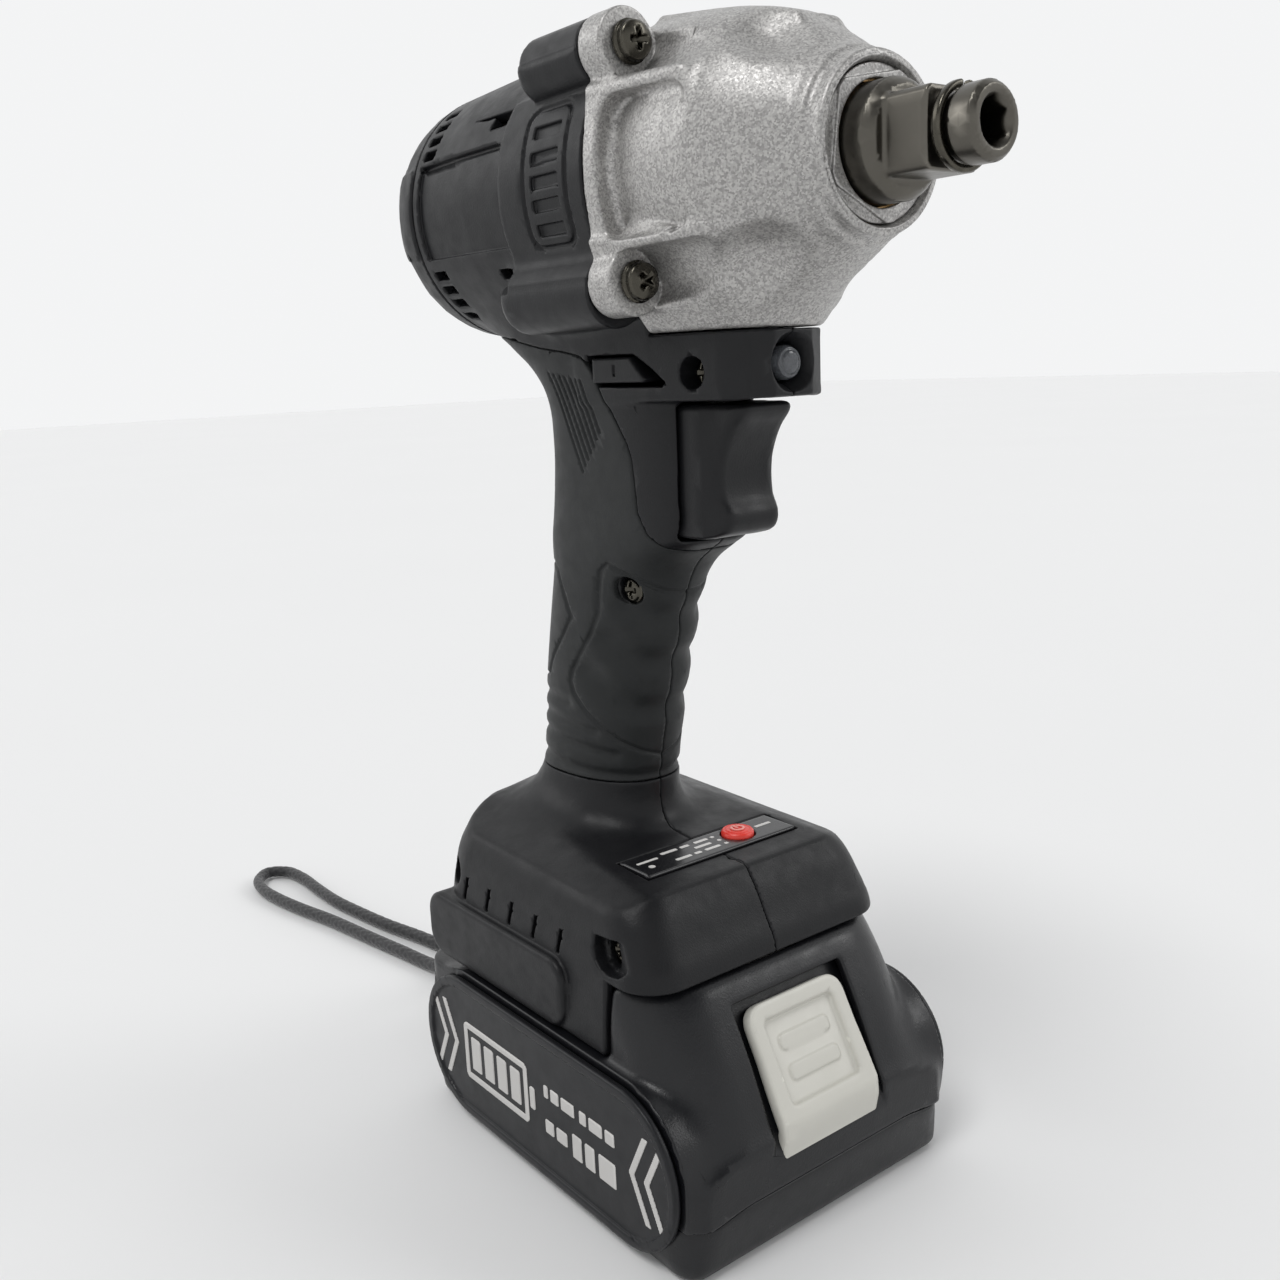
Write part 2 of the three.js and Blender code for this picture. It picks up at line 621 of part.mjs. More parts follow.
const toothPitch = Math.PI * gearModule;
const toothThickness = toothPitch / 2 - 0.12; // leaves running backlash
const addendum = 0.78 * gearModule;
const dedendum = gearModule;
const gearSpan = [gearBackX, gearFrontX];
const externalGear = (teeth) => {
  const pitchRadius = (gearModule * teeth) / 2;
  const flank = [pitchRadius - dedendum, pitchRadius, pitchRadius + addendum];
  return extruded('x', outline(gearOutline(teeth, flank, toothThickness)), gearSpan);
};

// Planets sit at either side of the sun, each with a tooth pointing straight out.
[-1, 1].forEach((side, i) => {
  const planet = cut(externalGear(planetTeeth), barX([-20, 10], pinRadius + 0.4, [0, 0], 8));
  const mesh = addPiece(head, `planet_gear_${i + 1}`, planet, brightSteel);
  mesh.position.y = side * planetDistance;
  mesh.rotation.x = side > 0 ? 0 : Math.PI;
  const pinBody = barX([gearBackX - 3, 3.7], pinRadius, [0, 0], 8);
  const pin = addPiece(head, `planet_pin_${i + 1}`, pinBody, brightSteel);
  pin.position.y = side * planetDistance;
});

// The ring gear's tooth spaces have the outline of a slightly thicker external tooth.
const ringPitchRadius = (gearModule * ringTeeth) / 2;
const ringFlank = [ringPitchRadius - addendum, ringPitchRadius + dedendum];
const ringSpaces = extruded('x', outline(gearOutline(ringTeeth, ringFlank, toothPitch / 2 + 0.12)),
  [gearBackX - 2, gearFrontX + 2]);
const ringBlank = barX([gearBackX - 0.4, gearFrontX + 0.3], 23.4, [0, 0], 36);
addPiece(head, 'ring_gear', cut(ringBlank, ringSpaces), darkSteel);

// ---------------------------------------------------------------- motor

const plateBackX = -18.6;
const gearboxPlate = cut(
  join(barX([plateBackX, gearBackX - 3.5], barrelBore - gap - 0.1, [0, 0], 28),
    ringX([gearBackX - 4, gearFrontX + 0.3], 23.8, barrelBore - gap - 0.1, 28)),
  barX([gearBackX - 7.2, 0], 8.9),
  barX([-30, 0], 5.6),
  barX([-30, -15.2], 8.4));
addPiece(head, 'gearbox_plate', gearboxPlate, silverPaint);

const shaftRadius = 3;
addPiece(head, 'front_bearing', ringX([-18.4, -15.5], shaftRadius + gap, 8, 16), brightSteel);
addPiece(head, 'rear_bearing', ringX([-49.9, -46], shaftRadius + gap, 7, 16), brightSteel);

const rotorShaft = join(
  barX([-49.4, gearBackX + 1], 2.9, [0, 0], 16),
  externalGear(sunTeeth));
addPiece(head, 'rotor_shaft', rotorShaft, brightSteel);
addPiece(head, 'rotor_magnet', ringX([-40, -21], shaftRadius + gap, 11.4, 16), darkSteel);

// Laminated stator with six slots between its poles, and its end windings
const statorSlots = [];
for (let i = 0; i < 6; i += 1) {
  const geometry = new THREE.BoxGeometry(30, 6, 4).translate(-30.5, 17, 0);
  statorSlots.push(solid(geometry.rotateX((i + 0.5) * Math.PI / 3)));
}
addPiece(head, 'stator', cut(ringX([-40.5, -20.5], 12, motorBore - gap, 24), ...statorSlots), darkSteel);

const fanBlades = [];
for (let i = 0; i < 9; i += 1) {
  const geometry = new THREE.BoxGeometry(3.4, 13.5, 1).translate(-43.2, 14.2, 0);
  fanBlades.push(solid(geometry.rotateX(i * 2 * Math.PI / 9)));
}
addPiece(head, 'cooling_fan', join(ringX([-42.6, -41.2], shaftRadius + gap, 21.5),
  ringX([-45.2, -42], shaftRadius + gap, 6.4, 12), ...fanBlades), blackPlastic);

// ---------------------------------------------------------------- lamp, switch and controls

const lensFrontX = lampFrontX - 0.3;
addPiece(tool, 'lamp_lens', join(
  barX([lensFrontX - 6.4, lensFrontX - 1.4], lampRadius, [0, lampAxisZ]),
  barX([lensFrontX - 1.5, lensFrontX], lampRadius, [0, lampAxisZ], 16, 1.8)), clearPlastic);

// Trigger, hollowed for the finger: height and front of each level
const triggerLevels = [
  [triggerBottomZ, 33.5], [142.4, 36.6], [146, 38.2], [149.5, 36.6], [153.5, 35.8], [158, 36.8],
  [163, 39.6], [triggerTopZ, 43.2],
];
const trigger = join(
  loft(triggerLevels.map(([z, frontX]) => levelRing(z, triggerBackX, frontX, triggerHalfWidth, 0.5, 6, 3))),
  barX([-1.5, triggerBackX + 1], 2.7, [0, plungerZ]));
addPiece(tool, 'trigger', trigger, blackPlastic);

const switchBody = cut(
  extruded('y', roundedOutline([-9.3, 8.4], [143, 168], 1.5), [-7.6, 7.6], 3),
  barX([-8.2, 20], 3.1, [0, plungerZ]));
addPiece(tool, 'switch_body', switchBody, laminate);

// Forward and reverse lever: one bar through the tool with a wedge-shaped end on each side
const leverWedge = outline([[7, leverBottomZ], [23.6, leverBottomZ], [24, leverBottomZ + 0.8],
  [17, leverTopZ], [7, leverTopZ]]);
const lever = join(
  extruded('y', leverWedge, [-15.6, -11]),
  extruded('y', leverWedge, [11, 15.6]),
  box([8.5, 16.5], [-11.5, 11.5], [leverBottomZ + 0.4, leverTopZ - 0.4]));
addPiece(tool, 'direction_lever', lever, blackPlastic);

const panel = cut(box(panelX, panelY, [panelSeatZ, footTopZ + 0.4]), buttonHole);
addPiece(tool, 'control_panel', panel, laminate);
addPiece(tool, 'mode_button', barZ([68.4, 73.6], buttonRadius, [buttonX, buttonY]), redPlastic);

const controlBoard = join(box([-8, 30], [-22, 22], [64.2, 65.8]),
  box([buttonX - 3, buttonX + 3], [buttonY - 3, buttonY + 3], [65, 67.3]),
  box([-4, 8], [-16, -4], [65, 68.6]));
addPiece(tool, 'control_board', controlBoard, circuitBoard);

const blades = bladeY.map((y) => box([-20, -6], [y - 0.6, y + 0.6], [42, 52]));
addPiece(tool, 'terminal_block', join(box([-26, 8], [-16, 16], [50.8, 57]), ...blades), laminate);

// ---------------------------------------------------------------- battery

const packPlan = (inset) => roundedOutline([packRearX + inset, packFrontX - inset],
  [-packHalfWidth + inset, packHalfWidth - inset], 7 - inset);

// The upper case is a low deck with a sloping block at its front: height, front, half width, corner
const packBlockLevels = [
  [packSplitZ + gap, packFrontX, packHalfWidth, 7], [27, packFrontX, packHalfWidth, 8],
  [37, 51.2, packHalfWidth - 0.4, 10], [47, 45.6, 35.6, 11], [51.6, 43, 34.4, 12], [53.9, 40.8, 32.8, 12],
];
function packUpper(inset) {
  const deckBottomZ = packSplitZ + gap - 2 * Math.sign(inset);
  const deck = extruded('z', packPlan(inset), [deckBottomZ, packDeckZ - inset], 3);
  const rearX = footNoseStartX + gap + inset;
  const block = loft(packBlockLevels.map(([z, frontX, halfWidth, corner], i) => levelRing(
    i ? z - inset : z - 2 * Math.sign(inset), rearX, frontX - inset, halfWidth - inset, 2.6 - inset / 2,
    corner - inset, 3)));
  return join(deck, block);
}

// Rails that slide along the foot's ledges, with slots between them for the terminal blades
const railRearX = footInsideX + 0.6;
const railLipZ = 43.8;
const railBlock = join(
  box([railRearX, footNoseStartX + 3], [-27, 27], [packDeckZ - 3, packRailZ]),
  box([railRearX, footNoseStartX + 3], [-30.5, 30.5], [railLipZ, packRailZ]));
const railHollow = box([railRearX + 2, footNoseStartX + 5], [-24, 24], [packDeckZ - 6, packRailZ - wall]);
const bladeSlots = bladeY.map((y) => box([-50, -3], [y - 1.2, y + 1.2], [40, 50]));
const slotWalls = bladeY.map((y) => box([railRearX, -1], [y - 2.8, y + 2.8], [38.4, packRailZ]));

// Sliding face of the release button: it slopes from the deck's front edge down to the nose
const slideTop = new THREE.Vector2(45.6, 48.4);
const slideBottom = new THREE.Vector2(60.4, 22);
const slideWay = slideBottom.clone().sub(slideTop).normalize();
const intoCase = new THREE.Vector2(slideWay.y, -slideWay.x);
const slidePoint = (from, along, inwards) => {
  const point = from.clone().addScaledVector(slideWay, along).addScaledVector(intoCase, inwards);
  return [point.x, point.y];
};
const buttonDepth = 3.4;
const releaseTravel = 4;
const buttonSide = outline([
  slidePoint(slideTop, 0, 0.6), slidePoint(slideTop, 1.2, 0), slidePoint(slideBottom, -0.6, 0),
  slidePoint(slideBottom, 0.6, 1), slidePoint(slideBottom, 2.2, buttonDepth),
  slidePoint(slideTop, 0, buttonDepth),
]);
const recessSide = outline([
  slidePoint(slideTop, -1, -6), slidePoint(slideTop, -1, buttonDepth + gap),
  slidePoint(slideBottom, 3, buttonDepth + gap), slidePoint(slideBottom, 8, buttonDepth + 1.4),
  slidePoint(slideBottom, 16, -6),
]);
const buttonRecess = extruded('y', recessSide, [-buttonHalfWidth - 0.4, buttonHalfWidth + 0.4]);
const recessFloor = common(packUpper(0), extruded('y', outline([
  slidePoint(slideTop, -4, buttonDepth + gap), slidePoint(slideTop, -4, buttonDepth + gap + 2),
  slidePoint(slideBottom, 6, buttonDepth + gap + 2), slidePoint(slideBottom, 6, buttonDepth + gap)]),
[-buttonHalfWidth - 2.6, buttonHalfWidth + 2.6]));
const armSlot = box([30, 60], [-8.6, 8.6], [32, 44.6]);
const hookSlot = box([31.4, 41.6], [-8.6, 8.6], [44, 60]);

const upperShellPack = join(cut(packUpper(0), packUpper(wall)), recessFloor, railBlock, ...slotWalls);
const upperCase = cut(upperShellPack, railHollow, ...bladeSlots, buttonRecess, armSlot, hookSlot);
addPiece(battery, 'battery_upper_case', upperCase, blackPlastic);

const lowerOuter = common(
  extruded('z', packPlan(0), [0, packSplitZ], 4),
  extruded('y', outline([
    [packRearX, 14], [packRearX + 2, 0], [packFrontX - 2.2, 0], [packFrontX, 12], [packFrontX, 14],
  ]), [-50, 50]));
const lowerCase = cut(lowerOuter, extruded('z', packPlan(wall + 0.6), [wall, 20], 4));
addPiece(battery, 'battery_lower_case', lowerCase, blackPlastic);

const plateRadius = (plateZ[1] - plateZ[0]) / 2;
const plateShape = roundedOutline(plateX, plateZ, plateRadius - 0.01);
addPiece(battery, 'battery_plate_right', extruded('y', plateShape, [-39.6, -packHalfWidth - gap], 8), rubber);
addPiece(battery, 'battery_plate_left', extruded('y', plateShape, [packHalfWidth + gap, 39.6], 8), rubber);

for (let i = 0; i < cellCount; i += 1) {
  const cell = addPiece(battery, `battery_cell_${i + 1}`,
    barY([-cellLength / 2, cellLength / 2], cellRadius, [0, 0], 16), cellWrap);
  cell.position.set(packMiddleX + (i - (cellCount - 1) / 2) * cellPitch, 0, cellHeight);
}
addPiece(battery, 'battery_board', box([-40, 26], [-22, 22], [24, 25.6]), circuitBoard);

// The button's arm runs back through the case to a hook just under the foot's front wall.
const hookTopZ = footFrontBottomZ - 0.4;
const releaseButton = join(
  extruded('y', buttonSide, [-buttonHalfWidth, buttonHalfWidth]),
  box([33, 49], [-8, 8], [37.2, 40]),
  extruded('y', outline([[32.4, 37.2], [35.2, 37.2], [35.4, 52.6], [34.4, hookTopZ], [33.4, hookTopZ],
    [32.4, 52]]), [-8, 8]));
const buttonFace = extruded('y', outline([
  slidePoint(slideTop, 5.5, -1), slidePoint(slideTop, 5.5, 1), slidePoint(slideBottom, -5.5, 1),
  slidePoint(slideBottom, -5.5, -1)]), [-10.5, 10.5]);
addPiece(battery, 'release_button', cut(releaseButton, buttonFace), whitePlastic);

const releaseSpring = addPiece(battery, 'release_spring', coil([0, 9.6], 2.6, 0.5, 4, 7), brightSteel);
releaseSpring.position.set(42, 0, 27.2);

// ---------------------------------------------------------------- wrist strap

const strapRadius = 1.9;
const anchorFrontX = -44.2;
const anchorBackX = -49;
const anchorZ = 45;
const strapAnchor = extruded('x', roundedOutline([-8, 8], [anchorZ - 4, anchorZ + 4], 3),
  [anchorBackX, anchorFrontX], 3);
addPiece(tool, 'strap_anchor', strapAnchor, blackPlastic);

// Loop of cord: out of the anchor, down to the surface, back round a bight and home again
const restZ = strapRadius + 0.4;
const strapRoute = [
  [anchorBackX - gap, -4.6, anchorZ], [-56, -4.6, 44.4], [-64, -4.8, 38], [-71, -5, 27], [-78, -5.4, 15],
  [-86, -6, 7], [-97, -7, restZ + 0.6], [-116, -9.9, restZ], [-134, -13, restZ], [-152, -16, restZ],
  [-168, -19.6, restZ], [-182, -22, restZ], [-193, -22.6, restZ], [-202, -20.4, restZ],
  [-206.4, -15.2, restZ], [-202.4, -9.8, restZ], [-193, -8, restZ], [-180, -8.2, restZ],
  [-165, -8, restZ], [-150, -6.2, restZ],
  [-136, -4, restZ], [-120, -0.4, restZ], [-105, 2.4, restZ], [-92, 4, 4], [-82, 4.6, 10.4],
  [-74, 4.8, 21], [-67, 4.8, 33], [-59, 4.6, 42.6], [-53, 4.6, 45], [anchorBackX - gap, 4.6, anchorZ],
].map((point) => new THREE.Vector3(...point));
addPiece(tool, 'wrist_strap', tube(strapRoute, strapRadius, 46, 8), cordFabric);

export default tool;
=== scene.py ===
"""Cordless impact wrench with a slide-on battery pack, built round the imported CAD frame.

Shapes are signed distance fields in millimetres, meshed and scaled to metres. +X is forward along
the drive, +Y the tool's left and +Z up.
"""
import json
import math
from concurrent.futures import ThreadPoolExecutor
from functools import reduce

import bpy
import numpy as np
import openvdb
from mathutils import Matrix, Vector


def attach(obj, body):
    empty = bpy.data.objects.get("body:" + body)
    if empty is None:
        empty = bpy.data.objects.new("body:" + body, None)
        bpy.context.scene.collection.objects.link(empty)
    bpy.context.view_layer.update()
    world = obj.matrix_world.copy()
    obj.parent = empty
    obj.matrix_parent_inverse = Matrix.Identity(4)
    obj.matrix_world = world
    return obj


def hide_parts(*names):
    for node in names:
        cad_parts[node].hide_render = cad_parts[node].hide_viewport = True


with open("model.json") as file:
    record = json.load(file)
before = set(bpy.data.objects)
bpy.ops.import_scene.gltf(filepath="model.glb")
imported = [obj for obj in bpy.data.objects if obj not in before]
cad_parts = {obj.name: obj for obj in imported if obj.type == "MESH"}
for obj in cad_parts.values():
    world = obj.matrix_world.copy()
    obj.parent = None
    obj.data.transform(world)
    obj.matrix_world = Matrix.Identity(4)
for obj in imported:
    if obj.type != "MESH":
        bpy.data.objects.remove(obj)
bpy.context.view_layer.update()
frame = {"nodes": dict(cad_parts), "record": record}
nodes = frame["nodes"]

MM = 0.001

# ---------------------------------------------------------------- camera

camera = bpy.data.objects.new("camera", bpy.data.cameras.new("camera"))
bpy.context.scene.collection.objects.link(camera)
bpy.context.scene.camera = camera
CAMERA_AT = Vector((0.223829, -0.172556, 0.176408))
YAW, PITCH, ROLL = 2.48648, 0.212971, 0.0438099
FOCAL_OVER_WIDTH = 1288.92 / 1280
SENSOR = 36
ahead = Vector((math.cos(YAW) * math.cos(PITCH), math.sin(YAW) * math.cos(PITCH), -math.sin(PITCH)))
level = Vector((math.sin(YAW), -math.cos(YAW), 0))
down = ahead.cross(level)
right = level * math.cos(ROLL) + down * math.sin(ROLL)
down = down * math.cos(ROLL) - level * math.sin(ROLL)
facing = Matrix((right, -down, -ahead)).transposed().to_4x4()
camera.matrix_world = Matrix.Translation(CAMERA_AT) @ facing
camera.data.sensor_width = SENSOR
camera.data.lens = SENSOR * FOCAL_OVER_WIDTH
camera.data.clip_start, camera.data.clip_end = 0.01, 20

# ---------------------------------------------------------------- wrist strap

STRAP_RADIUS = 1.9
REST_Z = 2.3  # height of the cord's middle where it lies on the floor
BRAID_DEPTH, BRAID_TURN, BRAID_STRANDS = 0.17, 0.62, 6
CORD_SIDES = 24
CURVE_STEPS = 24  # between two points of the strap
PATH_STEP, MESH_STEP = 1.0, 0.4  # along the strap
STRAP = [
    (-49.3, -4.6, 45), (-56, -4.6, 44.4), (-64, -4.8, 38), (-71, -5, 27), (-78, -5.4, 15),
    (-86, -6, 7), (-97, -7, 2.9), (-116, -9.9, REST_Z), (-134, -13, REST_Z), (-152, -16, REST_Z),
    (-168, -19.6, REST_Z), (-182, -22, REST_Z), (-193, -22.6, REST_Z), (-202, -20.4, REST_Z),
    (-206.4, -15.2, REST_Z), (-202.4, -9.8, REST_Z), (-193, -8, REST_Z), (-180, -8.2, REST_Z),
    (-165, -8, REST_Z), (-150, -6.2, REST_Z), (-136, -4, REST_Z), (-120, -0.4, REST_Z),
    (-105, 2.4, REST_Z), (-92, 4, 4), (-82, 4.6, 10.4), (-74, 4.8, 21), (-67, 4.8, 33),
    (-59, 4.6, 42.6), (-53, 4.6, 45), (-49.3, 4.6, 45),
]


def between(t, t0, t1, a, b):
    """a at t0, b at t1, on a straight line."""
    return (t1 - t) / (t1 - t0) * a + (t - t0) / (t1 - t0) * b


def smooth_line(points, step):
    """Centripetal Catmull-Rom curve through the points, resampled at an even step."""
    p = np.array(points, float)
    p = np.vstack([2 * p[0] - p[1], p, 2 * p[-1] - p[-2]])
    out = []
    for a, b, c, d in zip(p, p[1:], p[2:], p[3:]):
        t0, t1 = 0.0, math.sqrt(np.linalg.norm(b - a))
        t2 = t1 + math.sqrt(np.linalg.norm(c - b))
        t3 = t2 + math.sqrt(np.linalg.norm(d - c))
        for t in np.linspace(t1, t2, CURVE_STEPS, endpoint=False):
            q = between(t, t1, t2, b, c)
            first = between(t, t0, t2, between(t, t0, t1, a, b), q)
            last = between(t, t1, t3, q, between(t, t2, t3, c, d))
            out.append(between(t, t1, t2, first, last))
    out.append(p[-2])
    line = np.array(out)
    run = np.concatenate([[0], np.cumsum(np.linalg.norm(np.diff(line, axis=0), axis=1))])
    at = np.linspace(0, run[-1], int(round(run[-1] / step)) + 1)
    return np.stack([np.interp(at, run, line[:, i]) for i in range(3)], axis=1), run[-1]


def add_mesh(name, vertices, faces, smooth=True):
    mesh = bpy.data.meshes.new(name)
    mesh.from_pydata([tuple(v) for v in np.asarray(vertices, float) * MM], [], faces)
    mesh.polygons.foreach_set("use_smooth", [smooth] * len(mesh.polygons))
    mesh.update()
    thing = bpy.data.objects.new(name, mesh)
    bpy.context.scene.collection.objects.link(thing)
    return thing


def tube_rings(line):
    """Rings of the braid round a line, with a frame carried along it so that it doesn't twist."""
    tangent = np.gradient(line, axis=0)
    tangent /= np.linalg.norm(tangent, axis=1)[:, None]
    side = np.cross(tangent[0], (0, 0, 1.0))
    side /= np.linalg.norm(side)
    angles = np.arange(CORD_SIDES) * 2 * math.pi / CORD_SIDES
    rings = []
    for i, (p, t) in enumerate(zip(line, tangent)):
        side = side - t * side.dot(t)
        side /= np.linalg.norm(side)
        up = np.cross(side, t)
        radius = braid(i, angles)[:, None]
        rings.append(p + radius * (np.cos(angles)[:, None] * side + np.sin(angles)[:, None] * up))
    return np.array(rings)


def braid(i, angles):
    """Radius of the braided cord at ring i: strands that cross in two directions."""
    turn, strands = i * BRAID_TURN, BRAID_STRANDS * angles
    weave = np.maximum(np.sin(strands + turn), np.sin(strands - turn))
    return STRAP_RADIUS - BRAID_DEPTH + BRAID_DEPTH * weave


def cord_mesh(name, line):
    rings, sides = tube_rings(line), CORD_SIDES
    count = len(rings)
    faces = []
    for i in range(count - 1):
        for j in range(sides):
            k = (j + 1) % sides
            faces.append((i * sides + j, i * sides + k, (i + 1) * sides + k, (i + 1) * sides + j))
    faces.append(tuple(reversed(range(sides))))
    faces.append(tuple((count - 1) * sides + j for j in range(sides)))
    return add_mesh(name, rings.reshape(-1, 3), faces)


strap = cord_mesh("wrist_cord", smooth_line(STRAP, MESH_STEP)[0])
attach(strap, "tool")
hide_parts("wrist_strap")


# ---------------------------------------------------------------- signed distances


def smin(a, b, k):
    """The nearer of two distances, blended over k where they meet."""
    h = np.maximum(k - np.abs(a - b), 0.0)
    return np.minimum(a, b) - h * h / (4.0 * k)


def smax(a, b, k):
    return -smin(-a, -b, k)


def length(*parts):
    return np.sqrt(sum(p * p for p in parts))


def both(*parts):
    """Inside all the parts."""
    return reduce(np.maximum, parts)


def either(*parts):
    """Inside any of the parts."""
    return reduce(np.minimum, parts)


def within(c, lo, hi):
    return np.maximum(lo - c, c - hi)


def ramp(c, at, values):
    return np.interp(c, at, values).astype(np.float32)


def corner_of(*parts):
    """Distance to the corner where all the parts are nil."""
    return length(*(np.maximum(p, 0.0) for p in parts)) + np.minimum(both(*parts), 0.0)


def box(x, y, z, lo, hi, r=0.0):
    axes = zip((x, y, z), lo, hi)
    return corner_of(*(np.abs(c - (a + b) / 2) - ((b - a) / 2 - r) for c, a, b in axes)) - r


def rect(u, v, lo, hi, r=0.0):
    axes = zip((u, v), lo, hi)
    return corner_of(*(np.abs(c - (a + b) / 2) - ((b - a) / 2 - r) for c, a, b in axes)) - r


def rod(u, v, w, centre, radius, span, r=0.0):
    """A bar along w with rounded ends."""
    d = length(u - centre[0], v - centre[1]) - radius + r
    e = np.abs(w - (span[0] + span[1]) / 2) - (span[1] - span[0]) / 2 + r
    return corner_of(d, e) - r


def polyline(u, v, points):
    best = None
    for (au, av), (bu, bv) in zip(points, points[1:]):
        du, dv = bu - au, bv - av
        t = np.clip(((u - au) * du + (v - av) * dv) / (du * du + dv * dv), 0.0, 1.0)
        d = (u - au - t * du) ** 2 + (v - av - t * dv) ** 2
        best = d if best is None else np.minimum(best, d)
    return np.sqrt(best)


def polygon(u, v, points):
    ring = list(points) + [points[0]]
    inside = np.zeros(np.shape(u), bool)
    for (au, av), (bu, bv) in zip(ring, ring[1:]):
        if av != bv:
            inside ^= ((av > v) != (bv > v)) & (u < (bu - au) * (v - av) / (bv - av) + au)
    return np.where(inside, -1.0, 1.0) * polyline(u, v, ring)


def curve(points, step=0.25):
    """A smooth function through points (t, value), by cubic pieces with limited slopes."""
    t, p = (np.array(c, float) for c in zip(*points))
    d = np.diff(p) / np.diff(t)
    m = np.concatenate([[d[0]], (d[1:] + d[:-1]) / 2, [d[-1]]])
    m[1:-1][d[1:] * d[:-1] <= 0] = 0.0
    at = np.arange(t[0], t[-1] + step, step)
    i = np.clip(np.searchsorted(t, at, side="right") - 1, 0, len(t) - 2)
    h = t[i + 1] - t[i]
    s = np.clip((at - t[i]) / h, 0.0, 1.0)
    value = ((2 * s**3 - 3 * s**2 + 1) * p[i] + (s**3 - 2 * s**2 + s) * h * m[i]
             + (3 * s**2 - 2 * s**3) * p[i + 1] + (s**3 - s**2) * h * m[i + 1])
    return lambda x: ramp(x, at, value)


def prism(u, v, angles):
    """Furthest reach of (u, v) along any of the angles."""
    return np.max([u * math.cos(t) + v * math.sin(t) for t in angles], axis=0)


def sunk(f, plan, depth, k=0.3):
    """f with the part of its skin inside the plan lowered by depth."""
    return smax(f, -smax(plan, -(f + depth), k), k)


def raised(f, plan, height, k=0.3):
    return smin(f, smax(plan, f - height, k), k)


def groove(f, away, width, k=0.25):
    """f with a round-bottomed groove where the distance away, measured along the skin, is nil."""
    return smax(f, width - length(away, f), k)


def cut(f, tool, k=0.3):
    return smax(f, -tool, k)


# ---------------------------------------------------------------- meshing

BLOCK = 8  # voxels along a block
NEAR = 1.25  # a block is worked out if the surface is within this many block lengths of its middle
BAND = 3  # voxels kept on each side of a surface
CHUNK = 40000  # points worked out at a time
SETTLES = 2  # times that each vertex is moved onto the surface
ADAPTIVITY = 0.12
NORMAL_STEP = 0.25
workers = ThreadPoolExecutor(4)


def sample(f, points):
    """f at points (n, 3), in chunks on all cores."""
    points = np.asarray(points, np.float32)
    parts = np.array_split(points, max(1, len(points) // CHUNK))
    return np.concatenate(list(workers.map(lambda p: f(p[:, 0], p[:, 1], p[:, 2]), parts)))


def gradient(f, points, step):
    moves = np.eye(3, dtype=np.float32) * step
    return np.stack([sample(f, points + m) - sample(f, points - m) for m in moves], 1) / (2 * step)


def field(f, lo, hi, voxel):
    """f on a lattice, worked out near the surface only."""
    lo = np.array(lo, float) - 2 * voxel
    blocks = np.ceil((np.array(hi, float) + 2 * voxel - lo) / (BLOCK * voxel)).astype(int) + 1
    grid = np.stack(np.meshgrid(*(np.arange(b) for b in blocks), indexing="ij"), -1).reshape(-1, 3)
    centres = lo + (grid * BLOCK + BLOCK / 2 - 0.5) * voxel
    value = sample(f, centres)
    near = np.abs(value) < BLOCK * voxel * NEAR
    band = BAND * voxel
    fill = np.where(value < 0, -band, band).astype(np.float32).reshape(blocks)
    lattice = fill.repeat(BLOCK, 0).repeat(BLOCK, 1).repeat(BLOCK, 2)
    inner = np.stack(np.meshgrid(*[np.arange(BLOCK)] * 3, indexing="ij"), -1).reshape(1, -1, 3)
    index = (grid[near][:, None, :] * BLOCK + inner).reshape(-1, 3)
    found = sample(f, lo + index * voxel)
    lattice[index[:, 0], index[:, 1], index[:, 2]] = np.clip(found, -band, band)
    return lattice, lo


def solid(name, f, lo, hi, voxel):
    """A closed mesh object of the signed distance f between the corners lo and hi."""
    lattice, origin = field(f, lo, hi, voxel)
    volume = openvdb.FloatGrid(BAND * voxel)
    volume.copyFromArray(lattice, tolerance=0.0)
    points, triangles, quads = volume.convertToPolygons(isovalue=0.0, adaptivity=ADAPTIVITY)
    points = (points * voxel + origin).astype(np.float32)
    for _ in range(SETTLES):
        slope = gradient(f, points, 0.3 * voxel)
        size = np.maximum((slope**2).sum(1), 0.2)
        move = slope * (sample(f, points) / size)[:, None]
        far = np.maximum(np.linalg.norm(move, axis=1) / (0.7 * voxel), 1.0)
        points = points - move / far[:, None]
    normals = gradient(f, points, NORMAL_STEP)
    normals /= np.maximum(np.linalg.norm(normals, axis=1), 1e-6)[:, None]
    faces = [tuple(q) for q in quads.tolist()] + [tuple(t) for t in triangles.tolist()]
    kind = quads if len(quads) else triangles
    corners = points[kind]
    across = np.cross(corners[:, 1] - corners[:, 0], corners[:, 2] - corners[:, 0])
    outward = normals[kind[:, 0]]
    if (across * outward).sum() < 0:
        faces = [tuple(reversed(face)) for face in faces]
    thing = add_mesh(name, points, faces)
    thing.data.normals_split_custom_set_from_vertices(normals.tolist())
    return thing


def place(thing, body, slot, material, *stands_for):
    thing.data.materials.clear()
    thing.data.materials.append(material)
    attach(thing, body)
    if stands_for:
        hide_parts(*stands_for)


def piece(name, shape, lo, hi, voxel, body, slot, *stands_for, look=None):
    place(solid(name, shape, lo, hi, voxel), body, slot, look or looks[slot], *stands_for)


# ---------------------------------------------------------------- housing shape

